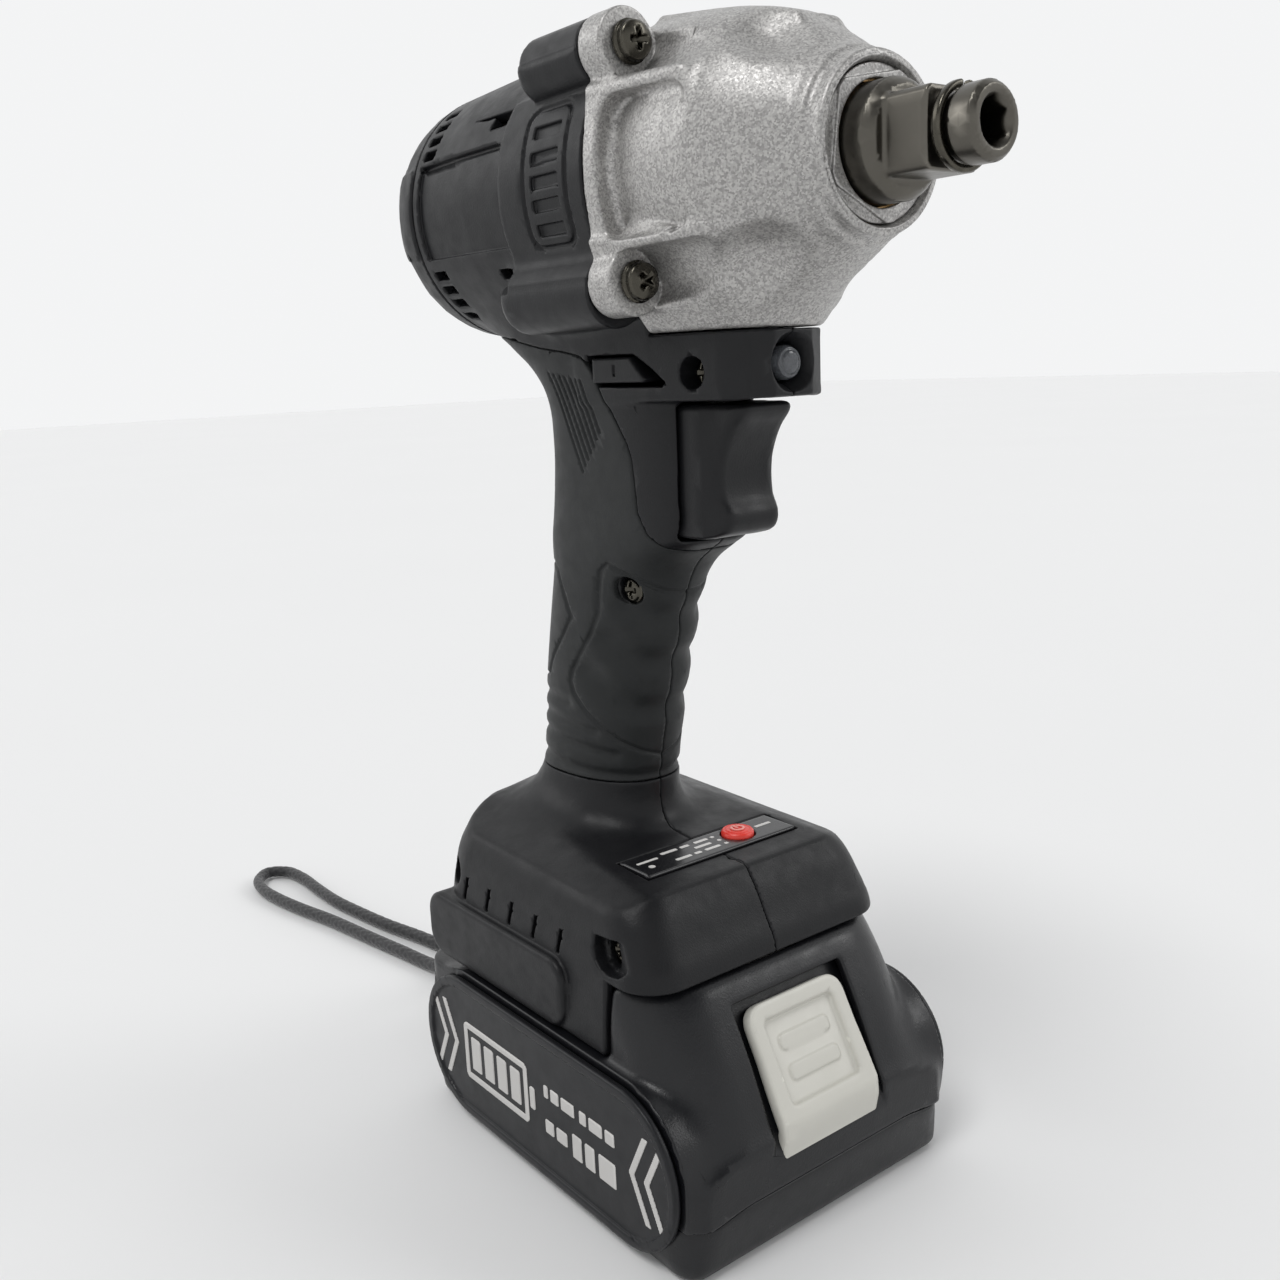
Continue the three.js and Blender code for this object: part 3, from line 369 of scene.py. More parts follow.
DRIVE_Z = 210.0
FLANGE_X = 24.8
WALL = 2.4
SKIN = 28.2  # mean radius of the barrel, for distances round it
GRIP_R = 13.0  # mean radius of the grip, for distances round it
UPPER_BOSS = (22.1, 21.2)  # from the drive axis: out to the side, up
LOWER_BOSS = (22.5, -19.5)
BOSSES = (UPPER_BOSS, LOWER_BOSS)
LAMP_Z = 175
BUTTON_X, BUTTON_Y = 19.6, 9.5
GRIP_MIDDLE = 0.42  # where the grip is widest, from its rear to its front
HOUSING_SCREWS = [(35.5, 173.8, 12.8), (9, 129, 12.4), (27.5, 59.6, 33), (-33, 60, 33)]  # x, z, side

grip_front = curve([(60, 5), (79, 4.6), (85, 5.0), (93, 6.4), (98.8, 7.9), (108.3, 10.2), (119.5, 13.7),
                    (128.6, 16.7), (132, 18.3), (135.4, 21), (138.4, 25.4), (140.6, 28.8), (143, 30.6),
                    (150, 30.8), (171, 30.4), (190, 30)])
grip_rear = curve([(60, -34.5), (72, -33.8), (80, -32), (91, -30.3), (107, -28), (130, -23.4), (147, -19.5),
                   (160, -18), (167, -18.4), (172, -20.6), (176.5, -25), (180, -30.5), (186, -38),
                   (195, -41)])
grip_half = curve([(60, 14), (78, 13.8), (86, 13.3), (108, 13.5), (132, 13.5), (142, 13.7), (160, 14),
                   (171, 14.5), (178, 15.5), (188, 17), (195, 18)])
grip_power = curve([(60, 2.25), (130, 2.25), (142, 3.2), (190, 3.2)])


def around_drive(y, z):
    """Distances off the middle plane, above the drive axis, and from that axis."""
    a, h = np.abs(y), z - DRIVE_Z
    return a, h, length(a, h)


def from_button(x, y):
    return length(x - BUTTON_X, y - BUTTON_Y)


def barrel_arc(degrees):
    return math.radians(degrees) * SKIN


def grip_arc(points):
    return [(math.radians(angle) * GRIP_R, z) for angle, z in points]


def grip_section(x, z, inset=0.0):
    """Forward distance from the grip's middle, its reach that way and its half width."""
    front, rear, half = grip_front(z) - inset, grip_rear(z) + inset, grip_half(z) - inset
    middle = rear + GRIP_MIDDLE * (front - rear)
    return x - middle, np.where(x > middle, front - middle, middle - rear), half


def grip(x, y, z, inset=0.0):
    """Egg-shaped section, blunt at the back, slimmer towards the front."""
    forward, reach, half = grip_section(x, z, inset)
    n = grip_power(z)
    u, v = np.abs(forward) / reach, np.abs(y) / half
    q = np.maximum((u**n + v**n) ** (1 / n), 1e-3)
    slope = length((u / q) ** (n - 1) / reach, (v / q) ** (n - 1) / half)
    return (q - 1) / slope


def grip_turn(x, y, z):
    """Distance round the grip from its front line."""
    forward, reach, half = grip_section(x, z)
    return np.arctan2(np.abs(y) / half, forward / reach) * GRIP_R


LAMP_PLAN = [(2, -1), (2, 13.3), (24, 13.3), (42.5, 11.0), (46.4, 8.6), (48.4, 4.5), (48.4, -1)]


def lamp_block(x, y, z, inset=0.0):
    plan = polygon(x, np.abs(y), LAMP_PLAN) - 1.2
    return smax(plan + inset, within(z, 168.5, 190) + inset, 1.0)


foot_rear = curve([(38, -44), (52, -43.6), (60, -42.6), (68, -41), (74, -38.5), (80, -35), (90, -33)])
foot_front = curve([(38, 44), (53, 41.7), (57, 41.0), (61.5, 38.6), (67, 35.6), (70.5, 33.2), (90, 22)])
foot_half = curve([(38, 36), (52, 35), (60, 34.2), (66, 33.2), (72, 31), (90, 30)])


def foot(x, y, z, inset=0.0):
    a = np.abs(y)
    rear, front, half = foot_rear(z) + inset, foot_front(z) - inset, foot_half(z) - inset
    corner = np.where(x > 0, 9.5, 15.0) - inset
    p = np.abs(x - (rear + front) / 2) - (front - rear) / 2 + corner
    q = a - half + corner
    walls = corner_of(p, q) - corner
    facet = 0.34 * (a - 24.5) + 0.94 * (z - 72.0) + 0.02 * (x - 15)
    deck = (z - 72.2) + 0.055 * (x - 15)
    roof = smax(facet, deck, 0.5)
    return smax(smax(walls, roof + inset, 1.0), 38.3 - z + inset, 1.0)


def housing_form(x, y, z):
    """The outside of both halves without their details."""
    a, h, r = around_drive(y, z)
    wide = ramp(x, [-41.3, -20, 24.8], [27.1, 28.0, 28.5])
    body = smax(r - wide, within(x, -41.2, 40), 0.5)
    upper = rod(a, h, x, UPPER_BOSS, 6.0, (4.5, 40), 2.4)
    lower = rod(a, h, x, (21.6, -20.6), 6.9, (-8, 40), 4.5)
    body = smin(smin(body, upper, 1.0), lower, 3.0)
    body = smin(body, both(grip(x, y, z), within(z, 72, 196)), 5.0)
    body = smin(body, lamp_block(x, y, z), 2.0)
    body = smax(body, either(x - FLANGE_X, z - 181.2), 0.5)
    neck = ramp(x, [-30, -5, 8, 20], [13, 11, 6, 4])
    body = smin(body, foot(x, y, z), neck)
    nose_over_pack = either(x - 28.0, 54.3 - z)
    return smax(body, nose_over_pack, 0.8)


def housing_hollow(x, y, z):
    """The room inside the halves."""
    r = length(y, z - DRIVE_Z)
    bore = np.where(x > -19, 25.9, 25.0)
    room = both(r - bore, np.abs(x) - 60)
    room = either(room, both(grip(x, y, z, WALL), within(z, 66, 196)))
    lamp = both(lamp_block(x, y, z, WALL), x - 42, np.abs(z - 174.85) - 3.95)
    room = either(room, lamp)
    under = both(foot(x, y, z, WALL), z - 80)
    under = either(under, box(x, y, z, (-41, -31.5, 20), (40, 31.5, 50)))
    return either(room, under, foot(x, y, np.maximum(z, 40), WALL))


RUBBER_EDGE = [(-60, 187), (-30, 183.5), (-10.7, 179.9), (-2.6, 178.9), (3.0, 177.9), (5.6, 176.3),
               (10.6, 167.6), (15.2, 160.3), (16.4, 157.2), (16.8, 152.3), (17.2, 146.3), (19.4, 141.9),
               (22.3, 139.3), (25.0, 138.1), (32, 137.4), (60, 136.6), (60, 84), (-60, 84)]
PAD_EDGE = grip_arc([(-3, 128.2), (21, 128.8), (32, 129.9), (42, 131.3), (49, 132.4), (58, 133.6),
                     (66, 134.8), (69.5, 133.2), (68, 128.4), (66.5, 123.4), (70, 118.8), (76, 114),
                     (82.5, 109.4), (83.2, 106.7), (79, 103.9), (69, 100.5), (53, 96.4), (41, 94),
                     (22, 91.6), (-3, 89.6)])
CHEVRON = grip_arc([(183, 133), (128, 133), (116, 131.6), (99, 126), (88, 121.6), (97, 116.7),
                    (110, 111.3), (118, 106.4), (183, 104.6)])
FINGER_DIPS = [grip_arc(line) for line in [
    [(44, 125.4), (34, 124), (26, 122.9), (12, 122.8), (-3, 122.8)],
    [(56, 117.6), (43, 114.4), (31, 113.0), (18, 112.7), (-3, 112.8)],
    [(68, 109.4), (51, 104.9), (33, 101.9), (20, 101.4), (-3, 101.6)]]]
HEEL_RIBS = [grip_arc(line) for line in [
    [(183, 102.4), (110, 101.8), (86, 101.1)], [(183, 97.9), (109, 97.3), (83, 96.6), (62, 95.3)],
    [(183, 93.5), (108, 93.0), (82, 91.9), (59, 91.1), (44, 90.4)],
    [(183, 87.6), (101, 87.1), (82, 86.2), (59, 85.8), (-3, 85.4)]]]
GRILLE = [((-9.6 + 2.0 * i, 174.6 - 0.28 * i), (0.1 + 1.15 * i, 154.0 + 1.35 * i)) for i in range(7)]


def rubber_zone(x, y, z):
    """Below nought where the soft overmould covers the housing."""
    r = length(y, z - DRIVE_Z)
    return smax(polygon(x, z, RUBBER_EDGE), 29.0 - r, 2.0)


def dip(f, away, radius, above, k):
    """f with a shallow channel: a round tool of this radius whose middle is above the skin."""
    return smax(f, radius - length(away, f - above), k)


def grip_skin(x, y, z):
    """The grip's surface with its pad, finger dips and ribs."""
    f = housing_form(x, y, z)
    if z.min() > 180 or z.max() < 80:
        return f
    s = grip_turn(x, y, z)
    for line in FINGER_DIPS:
        f = dip(f, polyline(s, z, line), 3.2, 2.3, 1.6)
    for line in HEEL_RIBS:
        f = dip(f, polyline(s, z, line), 1.5, 0.9, 0.7)
    f = groove(f, polyline(s, z, PAD_EDGE), 0.42, 0.35)
    f = groove(f, polyline(s, z, CHEVRON), 0.42, 0.35)
    if z.max() > 150:
        side = smax(f, 10.0 - np.abs(y), 1.0)
        for line in GRILLE:
            f = smax(f, 0.36 - length(polyline(x, z, line), side), 0.2)
    return f


def barrel_details(f, x, y, z):
    if z.max() < 182:
        return f
    a, h, r = around_drive(y, z)
    s, deg = np.arctan2(h, a) * SKIN, barrel_arc
    f = raised(f, rect(x, s, (-3.6, deg(-33)), (40, deg(37.5)), 2), 0.35, 0.5)
    f = sunk(f, rect(x, s, (-38.5, deg(-21.5)), (-4.3, deg(20)), 0.6), 0.8, 0.2)
    f = groove(f, polyline(x, s, [(-38.5, deg(20)), (-6.5, deg(20))]), 0.6, 0.2)
    pad = rect(x, s, (5.7, deg(-24)), (20, deg(28.5)), 3.2)
    f = groove(f, pad, 0.6, 0.2)
    for angle in (19, 9.2, 0.3, -8.2, -17.3):
        f = sunk(f, rect(x, s, (8.4, deg(angle) - 1.15), (17.5, deg(angle) + 1.15), 0.4), 0.75, 0.25)
    through = 20 - r
    for angle in (26, 33.5, 41, 49, -29.5, -37, -45, -53.5):
        slot = rect(x, s, (-38.6, deg(angle) - 1.1), (-33.4, deg(angle) + 1.1), 0.3)
        f = cut(f, both(slot, through), 0.25)
    notch = [(-10.8, 28), (-4.6, 28), (-3.8, 35), (-19, 35.6), (-19, 35), (-10.2, 33.4)]
    f = cut(f, both(polygon(x, s, [(at, deg(angle)) for at, angle in notch]), through), 0.2)
    return cut(f, both(rect(x, s, (-11.2, deg(-34.6)), (-2.6, deg(-29.8)), 0.3), through), 0.2)


SCOOP = [(23.6, 63.0), (38.6, 64.4), (37, 61.4), (34.8, 58.6), (32, 56.6), (29, 55.9), (26.2, 56.4),
         (24.2, 57.9), (23.3, 60.2)]


def scoop(x, y, z, grow=0.0):
    """The hollow at each front corner of the foot; grow makes it larger all round."""
    a = np.abs(y)
    return smax(polygon(x, z, SCOOP) - grow, 30.2 - grow - a + 0.28 * (x - 23), 1.2)


def foot_details(f, x, y, z):
    if z.min() > 80:
        return f
    a = np.abs(y)
    band = smax(rect(x, z, (-42, 38.4), (15, 54), 5.5), a - 36.9, 1.4)
    f = smin(f, both(band, 30 - a), 0.5)
    for i in range(5):
        u = (x - (-27 + 9.6 * i)) - 0.22 * (z - 57.5)
        f = cut(f, both(rect(u, z, (-0.6, 54.7), (0.6, 60.3), 0.5), 28 - a), 0.2)
    f = cut(f, scoop(x, y, z), 0.6)
    panel = box(x, y, z, (14.6, -20.9, 70.2), (25.7, 22.4, 80), 0.3)
    return cut(f, panel, 0.2)


def housing(x, y, z):
    """Both halves of the hard housing, with the pocket for the soft overmould."""
    form = housing_form(x, y, z)
    a, h = np.abs(y), z - DRIVE_Z
    f = foot_details(barrel_details(form, x, y, z), x, y, z)
    if z.min() < 180 and z.max() > 130:
        lever = polygon(x, z, [(5.5, 177.8), (19.8, 177.7), (24.5, 175.2), (28.6, 172.2), (27.6, 171.4),
                               (5.5, 171.6)])
        f = cut(f, smax(lever, 9.0 - a, 1.5), 0.5)
        f = cut(f, box(x, y, z, (11, -9.6, 140.7), (60, 9.6, 168.4), 1.6), 1.2)
        lens = length(y, z - LAMP_Z) - np.interp(x, [42, 46.5, 49.6], [3.8, 3.8, 5.6])
        f = cut(f, both(lens, 40 - x) * 0.85, 0.3)
    f = smax(f, -housing_hollow(x, y, z), 0.3)
    if z.min() < 68:
        lining = both(scoop(x, y, z, 1.6), form + 0.6)
        f = either(f, both(lining, 0.05 - scoop(x, y, z)))
    # wall on the middle plane that closes the view through the lever's slots
    f = either(f, box(x, a, z, (17.4, -1, 170.2), (29.8, 1.2, 179.6), 0.1))
    ledge = box(x, a, z, (-39, 28, 40), (26, 34.5, 43.4), 0.3)
    f = either(f, ledge)
    for sx, sz, side in HOUSING_SCREWS:
        bar = length(x - sx, z - sz)
        f = either(f, both(smax(bar - 4.2, form + 0.4, 0.2), a - 28.6))
        f = cut(f, both(bar - 3.1, y + side - 4.5, -y - 60), 0.3)
        f = cut(f, both(bar - 1.9, y - side + 5), 0.2)
    f = cut(f, both(from_button(x, y) - 4.1, np.abs(z - 70) - 8), 0.2)
    for ca, ch in BOSSES:
        f = cut(f, both(length(a - ca, h - ch) - 1.9, 9 - x), 0.2)
    pocket = both(rubber_zone(x, y, z) - 0.1, -(form + 1.7))
    return cut(f, pocket, 0.35)


def overmould(x, y, z):
    form = housing_form(x, y, z)
    f = smax(grip_skin(x, y, z), -(form + 1.6), 0.1)
    f = smax(f, rubber_zone(x, y, z) + 0.1, 0.5)
    sx, sz, _ = HOUSING_SCREWS[1]
    return cut(f, both(length(x - sx, z - sz) - 3.1, y + 1), 0.4)


def half_of(f, side):
    """The half of f on one side of the middle plane."""
    return lambda x, y, z: smax(f(x, y, z), 0.06 - side * y, 0.35)


def joint_strip(x, y, z):
    """Strip inside the right half that closes the joint between the halves of the grip and foot."""
    room = housing_hollow(x, y, z)
    f = both(room + ramp(y, [-0.1, 0.1], [-0.4, 0.1]), -1.4 - room)
    f = both(f, np.abs(y) - 0.85, within(z, 58, 166))
    return both(f, -box(x, y, z, (10, -9, 138), (60, 9, 172)))


def right_housing(x, y, z):
    f = half_of(housing, -1)(x, y, z)
    if y.max() > -1.5 and z.max() > 58 and z.min() < 166:
        f = either(f, joint_strip(x, y, z))
    return f


# ---------------------------------------------------------------- head: cap, case and anvil


def rear_cap(x, y, z):
    a, h, r = around_drive(y, z)
    f = polygon(x, r, [(-53.0, -9), (-53.0, 21.5), (-51.9, 23.9), (-49.6, 25.3), (-46.6, 26.2),
                      (-41.7, 26.9), (-41.7, -9)]) - 0.2
    f = smax(f, -(polygon(x, r, [(-50.2, -9), (-50.2, 20.5), (-47, 23), (-41, 24.3), (-41, -9)])), 0.2)
    f = either(f, both(np.abs(r - 8.4) - 1.0, np.abs(x + 48.2) - 2.4))
    s = np.arctan2(h, a) * 26
    f = raised(f, both(rect(x, s, (-51.2, -9.6), (-41.9, 9.6), 2), 15 - a), 0.45, 0.5)
    turn = np.arctan2(h, y)
    spoke = np.abs(np.mod(turn / (math.pi / 8) + 0.5, 1.0) - 0.5) * (math.pi / 8) * r
    slot = smax(spoke - 1.1, np.abs(r - 15) - 3.6, 0.6)
    return cut(groove(f, r - 21, 0.4, 0.2), both(slot, x + 49), 0.25)


case_radius = curve([(24, 28.6), (28, 28.6), (36, 28.1), (44, 27.0), (52, 24.8), (58, 21.9), (62.5, 19.0),
                     (66, 16.6), (72, 15)])


def case_form(x, y, z):
    """The outside of the cast hammer case."""
    a, h, r = around_drive(y, z)
    f = smax((r - case_radius(x)) * 0.86, x - 67.6, 0.6)
    ahead = x - FLANGE_X
    # squarer shoulders at the side, above it and on top
    side = smax(a + 0.15 * ahead - 27.4, np.abs(h - 0.4) - 14.9, 2.0)
    side = smax(side, x - 50.6 + 0.12 * h, 2.4)
    f = smin(f, side, 1.5)
    crown = smax(h + 0.17 * ahead - 28.7, a - 9.5 + 0.1 * ahead, 2.0)
    f = smin(f, smax(crown, both(0.9 * (x - 55.5 - 0.5 * a), 10 - h), 1.8), 1.6)
    brow = smax(0.8 * h + 0.6 * a - 27.2 + 0.17 * ahead, x - 59 + 0.35 * a, 1.8)
    f = smin(f, smax(brow, both(np.abs(a - 14) - 5.5, 10 - h), 2.0), 1.6)
    for ca, ch in BOSSES:
        f = smin(f, rod(a, h, x, (ca, ch), 6.2, (20, 32.2), 0.5), 1.8)
    skirt = (polygon(x, a, LAMP_PLAN) - 1.4 - 0.8 * (h + 28.6)) * 0.78
    f = smin(f, smax(skirt, both(h + 12, -31 - h), 1.0), 2.0)
    nose = rod(a, h, x, (0, 0), 15.0, (58, 71.5), 1.1)
    return smin(f, nose, 2.2)


def hammer_case(x, y, z):
    a, h, r = around_drive(y, z)
    f = case_form(x, y, z)
    # side pocket with its swelling floor and the wedge at its lower edge
    rise = np.clip((x - 30) / 19, 0, 1)
    depth = 0.5 + 3.4 * (1 - rise) ** 2 + 0.8 * np.clip((np.abs(h - 0.4) - 5) / 6, 0, 1) ** 2
    pocket = smax(rect(x, h, (28.8, -12.2), (49.0, 12.6), 4.0), both(-f - depth, 24.5 - r), 1.8)
    f = smax(f, -pocket, 0.8)
    wedge = polygon(x, h, [(29.6, -13), (32.6, -8.2), (36, -8.8), (45.5, -11.2), (42, -13)])
    f = smin(f, smax(wedge, both(a - 25.6 + 0.5 * (h + 12.5), 15 - a), 0.6), 1.0)
    # scallops for the driver ahead of each screw
    for ca, ch in BOSSES:
        path = smax(length(a - ca, h - ch) - 6.2, 24.5 - r, 3.0)
        f = smax(f, -both(path, 32.1 - x), 0.7)
    # dished patches low and high beside the nose
    for ca, ch, cx in ((13.5, -16.5, 60.5), (11.5, 18.5, 61.5)):
        f = smax(f, 9.0 - length((x - cx) * 0.8, a - ca * 1.28, h - ch * 1.28), 2.2)
    # turned ring inside the nose
    if x.max() > 70:
        f = groove(f, r - 14.1, 0.25, 0.2)
    mouth = r - np.interp(x, [70.0, 71.6], [12.9, 13.6])
    bore = polygon(x, r, [(-5, -9), (-5, 23.4), (44, 23.4), (50.1, 15.5), (50.1, 12.9), (70.2, 12.9),
                         (70.2, -9)])
    outer = smax(f, FLANGE_X + 0.45 - x, 0.6)
    spigot = both(r - 25.5, within(x, 1.3, 27))
    f = either(outer, spigot)
    f = smax(f, -either(bore, both(mouth, 69 - x)), 0.25)
    f = smax(f, 181.5 - z, 0.5)
    for ca, ch in BOSSES:
        f = smax(f, 2.3 - length(a - ca, h - ch), 0.2)
    return f


HALF_SQUARE = 6.35  # of the 12.7 mm square drive


def anvil(x, y, z):
    a, h, r = around_drive(y, z)
    square = both(a, np.abs(h)) - HALF_SQUARE
    square = smax(smax(square, r - 8.35, 0.25), within(x, 70, 85.8), 0.4)
    stem = polygon(x, r, [(41.1, -9), (41.1, 10.7), (48.3, 10.7), (48.4, 9.7), (75.2, 9.7), (76.2, 9.0),
                         (76.9, 8.2), (77.6, -9)]) - 0.1
    f = smin(square, stem, 0.8)
    tip = polygon(x, r, [(84, -9), (84, 5.3), (88.8, 5.3), (89.4, 6.0), (90.2, 6.05), (93.2, 6.05),
                        (94.1, 5.3), (94.2, -9)]) - 0.05
    f = smin(f, tip, 0.3)
    lug_end = r - np.interp(x, [45.5, 49], [20.5, 17])
    lugs = smax(both(a - 4.7, np.abs(x - 44.7) - 3.7), lug_end, 0.5)
    f = smin(f, lugs, 0.8)
    hexagon = prism(y, h, np.arange(6) * math.pi / 3) - 3.2
    hexagon = smin(hexagon, r - np.interp(x, [92.8, 94.4], [3.2, 4.3]), 0.3)
    f = cut(f, both(hexagon, 76 - x), 0.2)
    f = cut(f, both(r - 4.4, x - 54), 0.2)
    f = cut(f, both(length(x - 81.5, y) - 1.7, 5.2 - h), 0.3)
    return either(f, length(x - 81.5, y, h - 4.9) - 1.45)


def screw_head(u, v, w, radius, height):
    """Pan head with a washer rim and a cross recess; w runs out of the head."""
    r = length(u, v)
    dome = smax(length(r, w + 4.2) - 4.2 - height, r - radius, 0.5)
    rim = both(r - radius - 0.35, np.abs(w - 0.35) - 0.35) - 0.05
    f = smin(smax(dome, -w, 0.1), rim, 0.3)
    p, q = np.abs(u), np.abs(v)
    arm = either(both(p - 0.55, q - 1.9), both(q - 0.55, p - 1.9))
    cone = r - 2.2 + (height - w) * 0.9
    return cut(f, both(arm, cone, height - 1.9 - w), 0.15)


def case_screw(side, centre):
    cy, cz = side * centre[0], DRIVE_Z + centre[1]
    twist = 0.35 * side + 0.02 * centre[1]

    def f(x, y, z):
        u = (y - cy) * math.cos(twist) + (z - cz) * math.sin(twist)
        v = (z - cz) * math.cos(twist) - (y - cy) * math.sin(twist)
        head = screw_head(u, v, x - 32.4, 3.45, 3.2)
        thread = length(y - cy, z - cz) - 1.95 + 0.2 * np.sin(x * 2 * math.pi / 1.2
                                                               + np.arctan2(z - cz, y - cy))
        return smin(head, both(thread, within(x, 10, 33)), 0.2)
    return f


trigger_front = curve([(140, 29), (141.2, 33.0), (142.4, 36.2), (144.2, 37.9), (146, 38.1), (149.5, 36.4),
                       (153.5, 35.7), (158, 36.7), (163, 39.6), (166, 42.4), (168.5, 43.1)])


def trigger(x, y, z):
    a = np.abs(y)
    front = trigger_front(z)
    side = a - ramp(x, [0, 32.6, 35.5, 44], [9.1, 9.1, 7.7, 6.9])
    dish = 1.5 * np.exp(-((z - 154.5) / 6.5) ** 2)
    face = (x - front - dish * np.clip((a - 2.5) / 5.5, 0, 1) ** 2 * 0.4) * 0.92
    body = smax(smax(side, face, 2.6), within(z, 141.3, 167.8), 1.6)
    body = smax(body, 15.1 - x, 1.6)
    hollow = box(x, y, z, (13, -7.2, 143.4), (30, 7.2, 165.8), 1.0)
    body = cut(body, hollow, 0.3)
    stem = rod(y, z, x, (0, 156), 2.6, (-1.4, 31), 0.3)
    return either(body, stem)


def lever(x, y, z):
    plan = polygon(x, z, [(7.3, 172.5), (23.4, 172.5), (24.0, 172.9), (19.6, 177.1), (7.3, 177.1)]) - 0.2
    a = np.abs(y)
    f = smax(smax(plan, a - 15.5, 0.8), 11.0 - a, 0.3)
    f = either(f, box(x, a, z, (8.5, -1, 172.6), (16.5, 12, 177), 0.3))
    mark = both(np.abs(x - 14.6) - 0.35, np.abs(z - 174.9) - 1.0)
    return cut(f, both(mark, 15.1 - np.abs(y)), 0.1)


# ---------------------------------------------------------------- battery

PACK_SPLIT = 13.5
PLATE = ((-42, 2), (54, 37))
pack_front = curve([(12, 56.8), (20, 56.6), (27, 55.2), (37, 51.0), (47, 45.7), (51.6, 43.0), (53.9, 41.2),
                    (56, 40)])
pack_half = curve([(12, 37.4), (20, 36.6), (28, 35.7), (37, 35.4), (47, 34.9), (51.6, 34.2), (56, 33.4)])
SLIDE_TOP = np.array([45.6, 48.4])
SLIDE_WAY = np.array([14.8, -26.4]) / math.hypot(14.8, 26.4)
SLIDE_IN = np.array([SLIDE_WAY[1], -SLIDE_WAY[0]])


def slide(x, z):
    """Distance along the release button's sliding face, and out of it."""
    u = (x - SLIDE_TOP[0]) * SLIDE_WAY[0] + (z - SLIDE_TOP[1]) * SLIDE_WAY[1]
    v = -((x - SLIDE_TOP[0]) * SLIDE_IN[0] + (z - SLIDE_TOP[1]) * SLIDE_IN[1])
    return u, v


def pack_form(x, y, z, inset=0.0):
    a = np.abs(y)
    base = rect(x, a, (-46 + inset, -60), (57 - inset, 37.5 - inset), 8.0 - inset)
    base = smax(base, z - 35.9 + inset, 1.2)
    deck = smax(base, x - 27.6 + inset, 2.0)
    low = smax(base, z - 21.0, 3.0)
    rim = both(rect(x, z, (-43.0, 1.2), (55.0, 37.8), 18.2), a - 37.5)
    front, half = pack_front(z) - inset, pack_half(z) - inset
    corner = 15.0 - inset
    p, q = x - front + corner, a - half + corner
    block = corner_of(p, q) - corner
    block = smax(block, 28.4 + inset - x, 2.0)
    block = smax(block, z - 53.8 + inset, 2.0)
    body = smin(smin(either(deck, block), low, 9.0), rim, 2.2)
    return smax(body, both(a - 37.5 + inset, x - 57 + inset), 0.4)


def split_line(x, y):
    """Height of the joint between the pack's halves: it dips at the front corners."""
    near = np.clip((x - 44) / 8, 0, 1) * np.clip((np.abs(y) - 22) / 12, 0, 1)
    return PACK_SPLIT - 1.2 * near * near * (3 - 2 * near)


def pack_upper(x, y, z):
    a = np.abs(y)
    f = pack_form(x, y, z)
    u, v = slide(x, z)
    f = smax(f, split_line(x, y) + 0.2 - z, 0.6)
    hollow = smax(rect(x, a, (-43.6, -60), (54.6, 35.1), 5.6), z - 33.5, 0.5)
    hollow = both(hollow, pack_form(x, y, z) + WALL)
    inner = both(pack_form(x, y, z) + WALL, z - 51.4, 30.6 - x)
    f = smax(f, -either(hollow, inner), 0.3)
    rail = either(box(x, a, z, (-40.4, -1, 33), (31, 27, 48), 0.5),
                      box(x, a, z, (-40.4, -1, 43.8), (31, 30.5, 48), 0.6))
    rail = cut(rail, box(x, a, z, (-38.4, -1, 30), (33, 24, 45.6)), 0.2)
    blade = np.abs(a - 9)
    rail = either(rail, both(blade - 2.8, np.abs(z - 42.8) - 4.8,
                                       within(x, -40.4, -1)))
    f = either(f, rail)
    f = cut(f, both(blade - 1.2, np.abs(x + 26.5) - 23.5, 40 - z), 0.3)
    bay = both(a - 15.7, -3.7 - v, u - 40)
    bay = smax(bay, -1.0 - u, 1.0)
    floor = both(a - 18, np.abs(v + 4.7) - 1.0, within(u, -4, 36))
    f = cut(f, bay, 0.8)
    f = either(f, smax(floor, pack_form(x, y, z) + 0.3, 0.2))
    f = cut(f, box(x, a, z, (30, -1, 32.6), (60, 8.6, 40.7)), 0.2)
    return cut(f, box(x, a, z, (31.4, -1, 44), (39.4, 8.6, 60)), 0.2)


def pack_lower(x, y, z):
    a = np.abs(y)
    f = rect(x, a, (-46, -60), (57, 37.5), 8.0)
    f = smax(f, both(-46 + (14 - z) * 0.14 - x, x - 57 + np.maximum(12 - z, 0) * 0.18), 1.5)
    f = smax(f, -z + 0.02, 3.4)
    f = smax(f, z - split_line(x, y) + 0.16, 0.6)
    f = smax(f, -both(rect(x, a, (-42.6, -60), (53.4, 34.3), 5), 2.4 - z), 0.3)
    # rings of the four feet
    for fx in (-30, 40):
        f = groove(f, length((x - fx) * 0.6, a - 22) - 5.0, 0.5, 0.3)
    return f


def plate(side):
    def f(x, y, z):
        a = y * side
        plan = rect(x, z, PLATE[0], PLATE[1], 17.4)
        body = smax(plan + 0.15, np.abs(a - 38.72) - 0.86, 0.7)
        return sunk(body, both(plan + 2.6, 38.9 - a), 0.6, 0.35)
    return f


